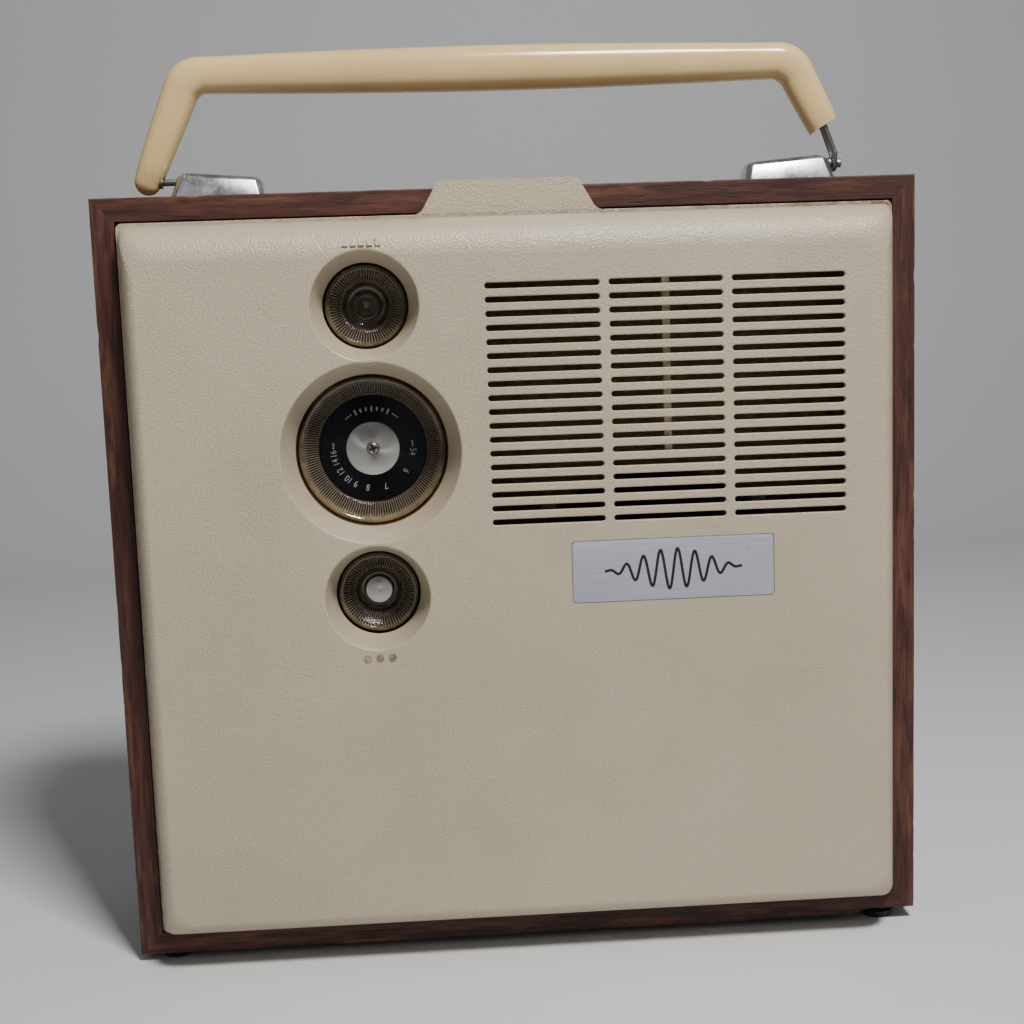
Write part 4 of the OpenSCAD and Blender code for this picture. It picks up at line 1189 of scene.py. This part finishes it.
def add_small_knob(name, node, body):
    """A clear dish with a fluted cone inside its rim and a hub with turned rings in the middle."""
    f = low(node).y
    count, inner, outer = 75, 9.6 * MM, 14.4 * MM
    profile = from_front(f, [
        (1.0, 7.8), (1.0, 6.6), (1.3, 6.35), (2.0, 6.5), (2.7, 6.3), (3.3, 6.6), (4.1, 6.35), (4.8, 6.3),
        (5.3, 6.32), (5.6, 6.5), (5.7, 6.85), (5.8, 7.2), (6.4, 7.4), (7.2, 7.25), (8.2, 6.6), (9.0, 5.5),
        (9.5, 4.3), *((9.7 + 0.46 * i, 3.95 - 0.355 * i) for i in range(11)),
        (14.55, 0.1), (14.8, 0.0), (15.2, 0.03), (15.9, 0.12), (16.4, 0.4), (16.62, 0.9),
        (16.68, 1.6), (16.7, 2.6), (16.7, 9.5), (16.4, 9.8), (12.0, 9.8), (6.4, 9.9),
        (5.75, 10.2), (5.7, 11.2), (5.5, 11.4), (3.05, 11.4), (3.05, 7.8),
    ])
    made = lathe(name, profile, axis(node), 8 * count, "amber_clear",
                 shape=fluted(count, inner, outer, 0.5 * MM))
    mark_knob(made, count, inner, outer, f + 0.1 * MM, f + 4.5 * MM)
    place(made, body, "amber_clear", node, degrees=60)


def add_knobs():
    add_tuning_knob()
    add_dial()
    add_disc_cap("spun_tuning_cap", "tuning_cap", "tuning", 1.6 * MM)
    add_tuning_screw()
    add_small_knob("fluted_volume_knob", "volume_knob", "volume")
    add_small_knob("fluted_select_knob", "select_knob", "select")
    add_disc_cap("spun_select_cap", "select_cap", "select", 0.2 * MM)


# ---- Handle ----

def grip_path():
    """Stations of the grip from the left foot to the right break: a place, and a radius in mm."""
    rise = 43.9 * MM
    left_corner = Vector((-131.5 * MM, PIVOT.y, PIVOT.z + rise))
    left_foot = Vector((-150.5 * MM, PIVOT.y, PIVOT.z))
    right_corner = Vector((126 * MM, PIVOT.y, PIVOT.z + rise))
    right_foot = Vector((148.7 * MM, PIVOT.y, PIVOT.z))
    right_end = right_corner + (right_foot - right_corner).normalized() * 31 * MM
    left = leg_stations(left_corner, left_foot, 1, 5.5)
    right = leg_stations(right_corner, right_end, -1, 6.7)
    start, end = left[-1][0], right[-1][0]
    bar = []
    for i in range(1, 24):
        t = i / 24
        swell = 1 - abs(2 * t - 1) ** 1.8
        bar.append((start.lerp(end, t), 7.5 + 1.9 * swell))
    return left + bar + list(reversed(right))


def leg_stations(corner, end, inward, end_r):
    """From the leg's end up to its corner, and round the bend into the bar."""
    bend, corner_r = 7.5 * MM, 7.6
    start = corner + (end - corner).normalized() * bend
    turned = corner + Vector((inward * bend, 0, 0))
    points = [(end.lerp(start, t / 14), end_r + (corner_r - end_r) * (t / 14) ** 0.6) for t in range(15)]
    for i in range(1, 13):
        t = i / 12
        spot = start * (1 - t) ** 2 + corner * 2 * t * (1 - t) + turned * t * t
        points.append((spot, corner_r + 0.5 * math.sin(math.pi * t)))
    return points


def add_handle_grip():
    """An oval bar whose ring at each station is a superellipse, a little flatter from front to back."""
    stations = grip_path()
    sides, power, flat = 40, 2.3, 0.88
    rings = []
    for k, (spot, radius) in enumerate(stations):
        before, after = stations[max(k - 1, 0)][0], stations[min(k + 1, len(stations) - 1)][0]
        along = (after - before).normalized()
        deep = Vector((0, 1, 0))
        up = along.cross(deep).normalized() * -1
        ring = []
        for i in range(sides):
            a = TURN * i / sides
            c, s = math.cos(a), math.sin(a)
            reach = radius * MM * (abs(c) ** power + abs(s) ** power) ** (-1 / power)
            ring.append(spot + deep * (reach * c * flat) + up * (reach * s))
        rings.append(ring)
    rings = round_foot(rings, stations) + rings
    rings += broken_end(rings[-1], stations)
    made = build("cream_grip", *skin(rings), "grip_plastic")
    bore_left_foot(made)
    ends = stations[0][0], stations[-1][0]

    def dirt_and_shade(co):
        near = min((co - ends[0]).length / (11 * MM), (co - ends[1]).length / (8 * MM))
        return max(1 - near, 0) * 0.7

    set_attribute(made, "dirt_and_shade", dirt_and_shade)
    place(made, "handle", "grip_plastic", "handle_grip", degrees=45)


def round_foot(rings, stations):
    """Rings that close the left leg's foot with a dome."""
    spot, radius = stations[0]
    along = (stations[0][0] - stations[1][0]).normalized()
    caps = []
    for i in range(8, 0, -1):
        a = math.pi / 2 * i / 8.6
        scale = math.cos(a)
        centre = spot + along * (radius * MM * 0.92 * math.sin(a))
        caps.append([centre + (point - spot) * scale for point in rings[0]])
    return caps


def broken_end(last, stations):
    """A jagged break across the right leg, hollowed round the steel core."""
    spot = stations[-1][0]
    along = (stations[-1][0] - stations[-2][0]).normalized()
    rim, inner, deep = [], [], []
    for point in last:
        jag = noise.noise(point * 420) * 1.1 + noise.noise(point * 1100) * 0.5
        slant = (point.x - spot.x) / (6 * MM)
        rim.append(point + along * ((jag - slant * 1.2) * MM))
        inner.append(spot + (point - spot) * 0.62 + along * ((jag * 0.5 - slant * 0.8 - 0.6) * MM))
        deep.append(spot + (point - spot) * 0.30 + along * ((jag * 0.3 - 1.6) * MM))
    return [rim, inner, deep]


def bore_left_foot(made):
    """The cross hole for the pivot pin, wider on the outside for its head and inside for its collar."""
    for r, x0, x1 in ((1.5, -160, -136), (2.2, -160, -151.7), (2.9, -146.3, -136)):
        ring = circle((PIVOT.y, PIVOT.z), r * MM, 40)
        rings = [[(x * MM, y, z) for y, z in ring] for x in (x0, x1)]
        carve(made, build("bore", *skin(rings), "grip_plastic"))


def bracket(name, side):
    """A chromed wedge with cut corners, taller at its pivot end."""
    node = f"{name}_handle_bracket"
    lo, hi = low(node), high(node)
    outer = max(lo.x * side, hi.x * side)
    length, y = hi.x - lo.x, (lo.y + hi.y) / 2
    foot, tall, lower = CASE_HIGH, hi.z - CASE_HIGH, 10.8 * MM
    base_half, top_half, nip = (hi.y - lo.y) / 2, 6.75 * MM, 2.2 * MM
    levels = []
    for up_outer, up_inner, half, trim in (
        (0, 0, base_half, 0),
        (tall - 1.7 * MM, lower - 1.7 * MM, top_half + 0.3 * MM, 0),
        (tall - 0.1 * MM, lower - 0.1 * MM, top_half - 2.0 * MM, 1.5 * MM),
    ):
        x1 = outer - 4.3 * MM * up_outer / tall - trim
        x0 = outer - length + 2.3 * MM * up_inner / lower + trim
        levels.append([
            (x1, -half + nip, up_outer), (x1, half - nip, up_outer),
            (x1 - nip, half, up_outer), (x0 + nip, half, up_inner),
            (x0, half - nip, up_inner), (x0, -half + nip, up_inner),
            (x0 + nip, -half, up_inner), (x1 - nip, -half, up_outer),
        ])
    rings = [[(side * px, y + py, foot + pz) for px, py, pz in ring] for ring in levels]
    made = build("chrome_" + name + "_bracket", *skin(rings), "chrome_cast")
    bevel(made, 0.35 * MM, 2, 12)
    clip_below(made, foot)
    place(made, "case", "chrome_cast", node, degrees=20)


def clip_below(made, level):
    """Bevelling lifts the lower edge: put the lowest points back on the wood."""
    floor = min(v.co.z for v in made.data.vertices)
    for vertex in made.data.vertices:
        if vertex.co.z < floor + 0.01 * MM:
            vertex.co.z = level


def add_handle():
    add_handle_grip()
    bracket("left", -1)
    bracket("right", 1)
    soften("handle_core", 0)
    soften("handle_pivot_pins")
    soften("handle_collars", 0.0002)


# ---- Loudspeaker ----

def add_speaker():
    """A paper cone with a rolled surround and fine ribs, and its dust cap."""
    front = low("speaker_cone").y
    profile = from_front(front, [
        *((59.4 - i * 0.55, 0.9 - 0.75 * math.sin(math.pi * i / 4) ** 2) for i in range(13)),
        *((52.5 - i * 1.9, 1.4 + i * 1.02 + 0.22 * (i % 2)) for i in range(20)),
        (14.5, 21.6), (14.5, 22.4),
        *((52.4 - i * 1.9, 2.2 + i * 1.02) for i in range(19, -1, -1)), (59.4, 1.3),
    ])
    made = lathe("ribbed_speaker_cone", profile, axis("speaker_cone"), 128, "cone_paper")
    place(made, "case", "cone_paper", "speaker_cone", degrees=20)
    quarter = [math.radians(a) for a in range(0, 91, 9)]
    dome = [(14.6 * math.sin(a), 21.7 - 8.5 * math.cos(a)) for a in quarter]
    profile = from_front(front, dome + [(14.6, 22.2), (0, 22.2)])
    made = lathe("speaker_dome", profile, axis("speaker_dust_cap"), 96, "cone_paper")
    place(made, "case", "cone_paper", "speaker_dust_cap")


# ---- Build ----

add_camera()
add_stage()
dress_cad_nodes()
add_case()
add_front_cover()
add_nameplate()
add_dust_seal()
add_knobs()
add_handle()
add_speaker()
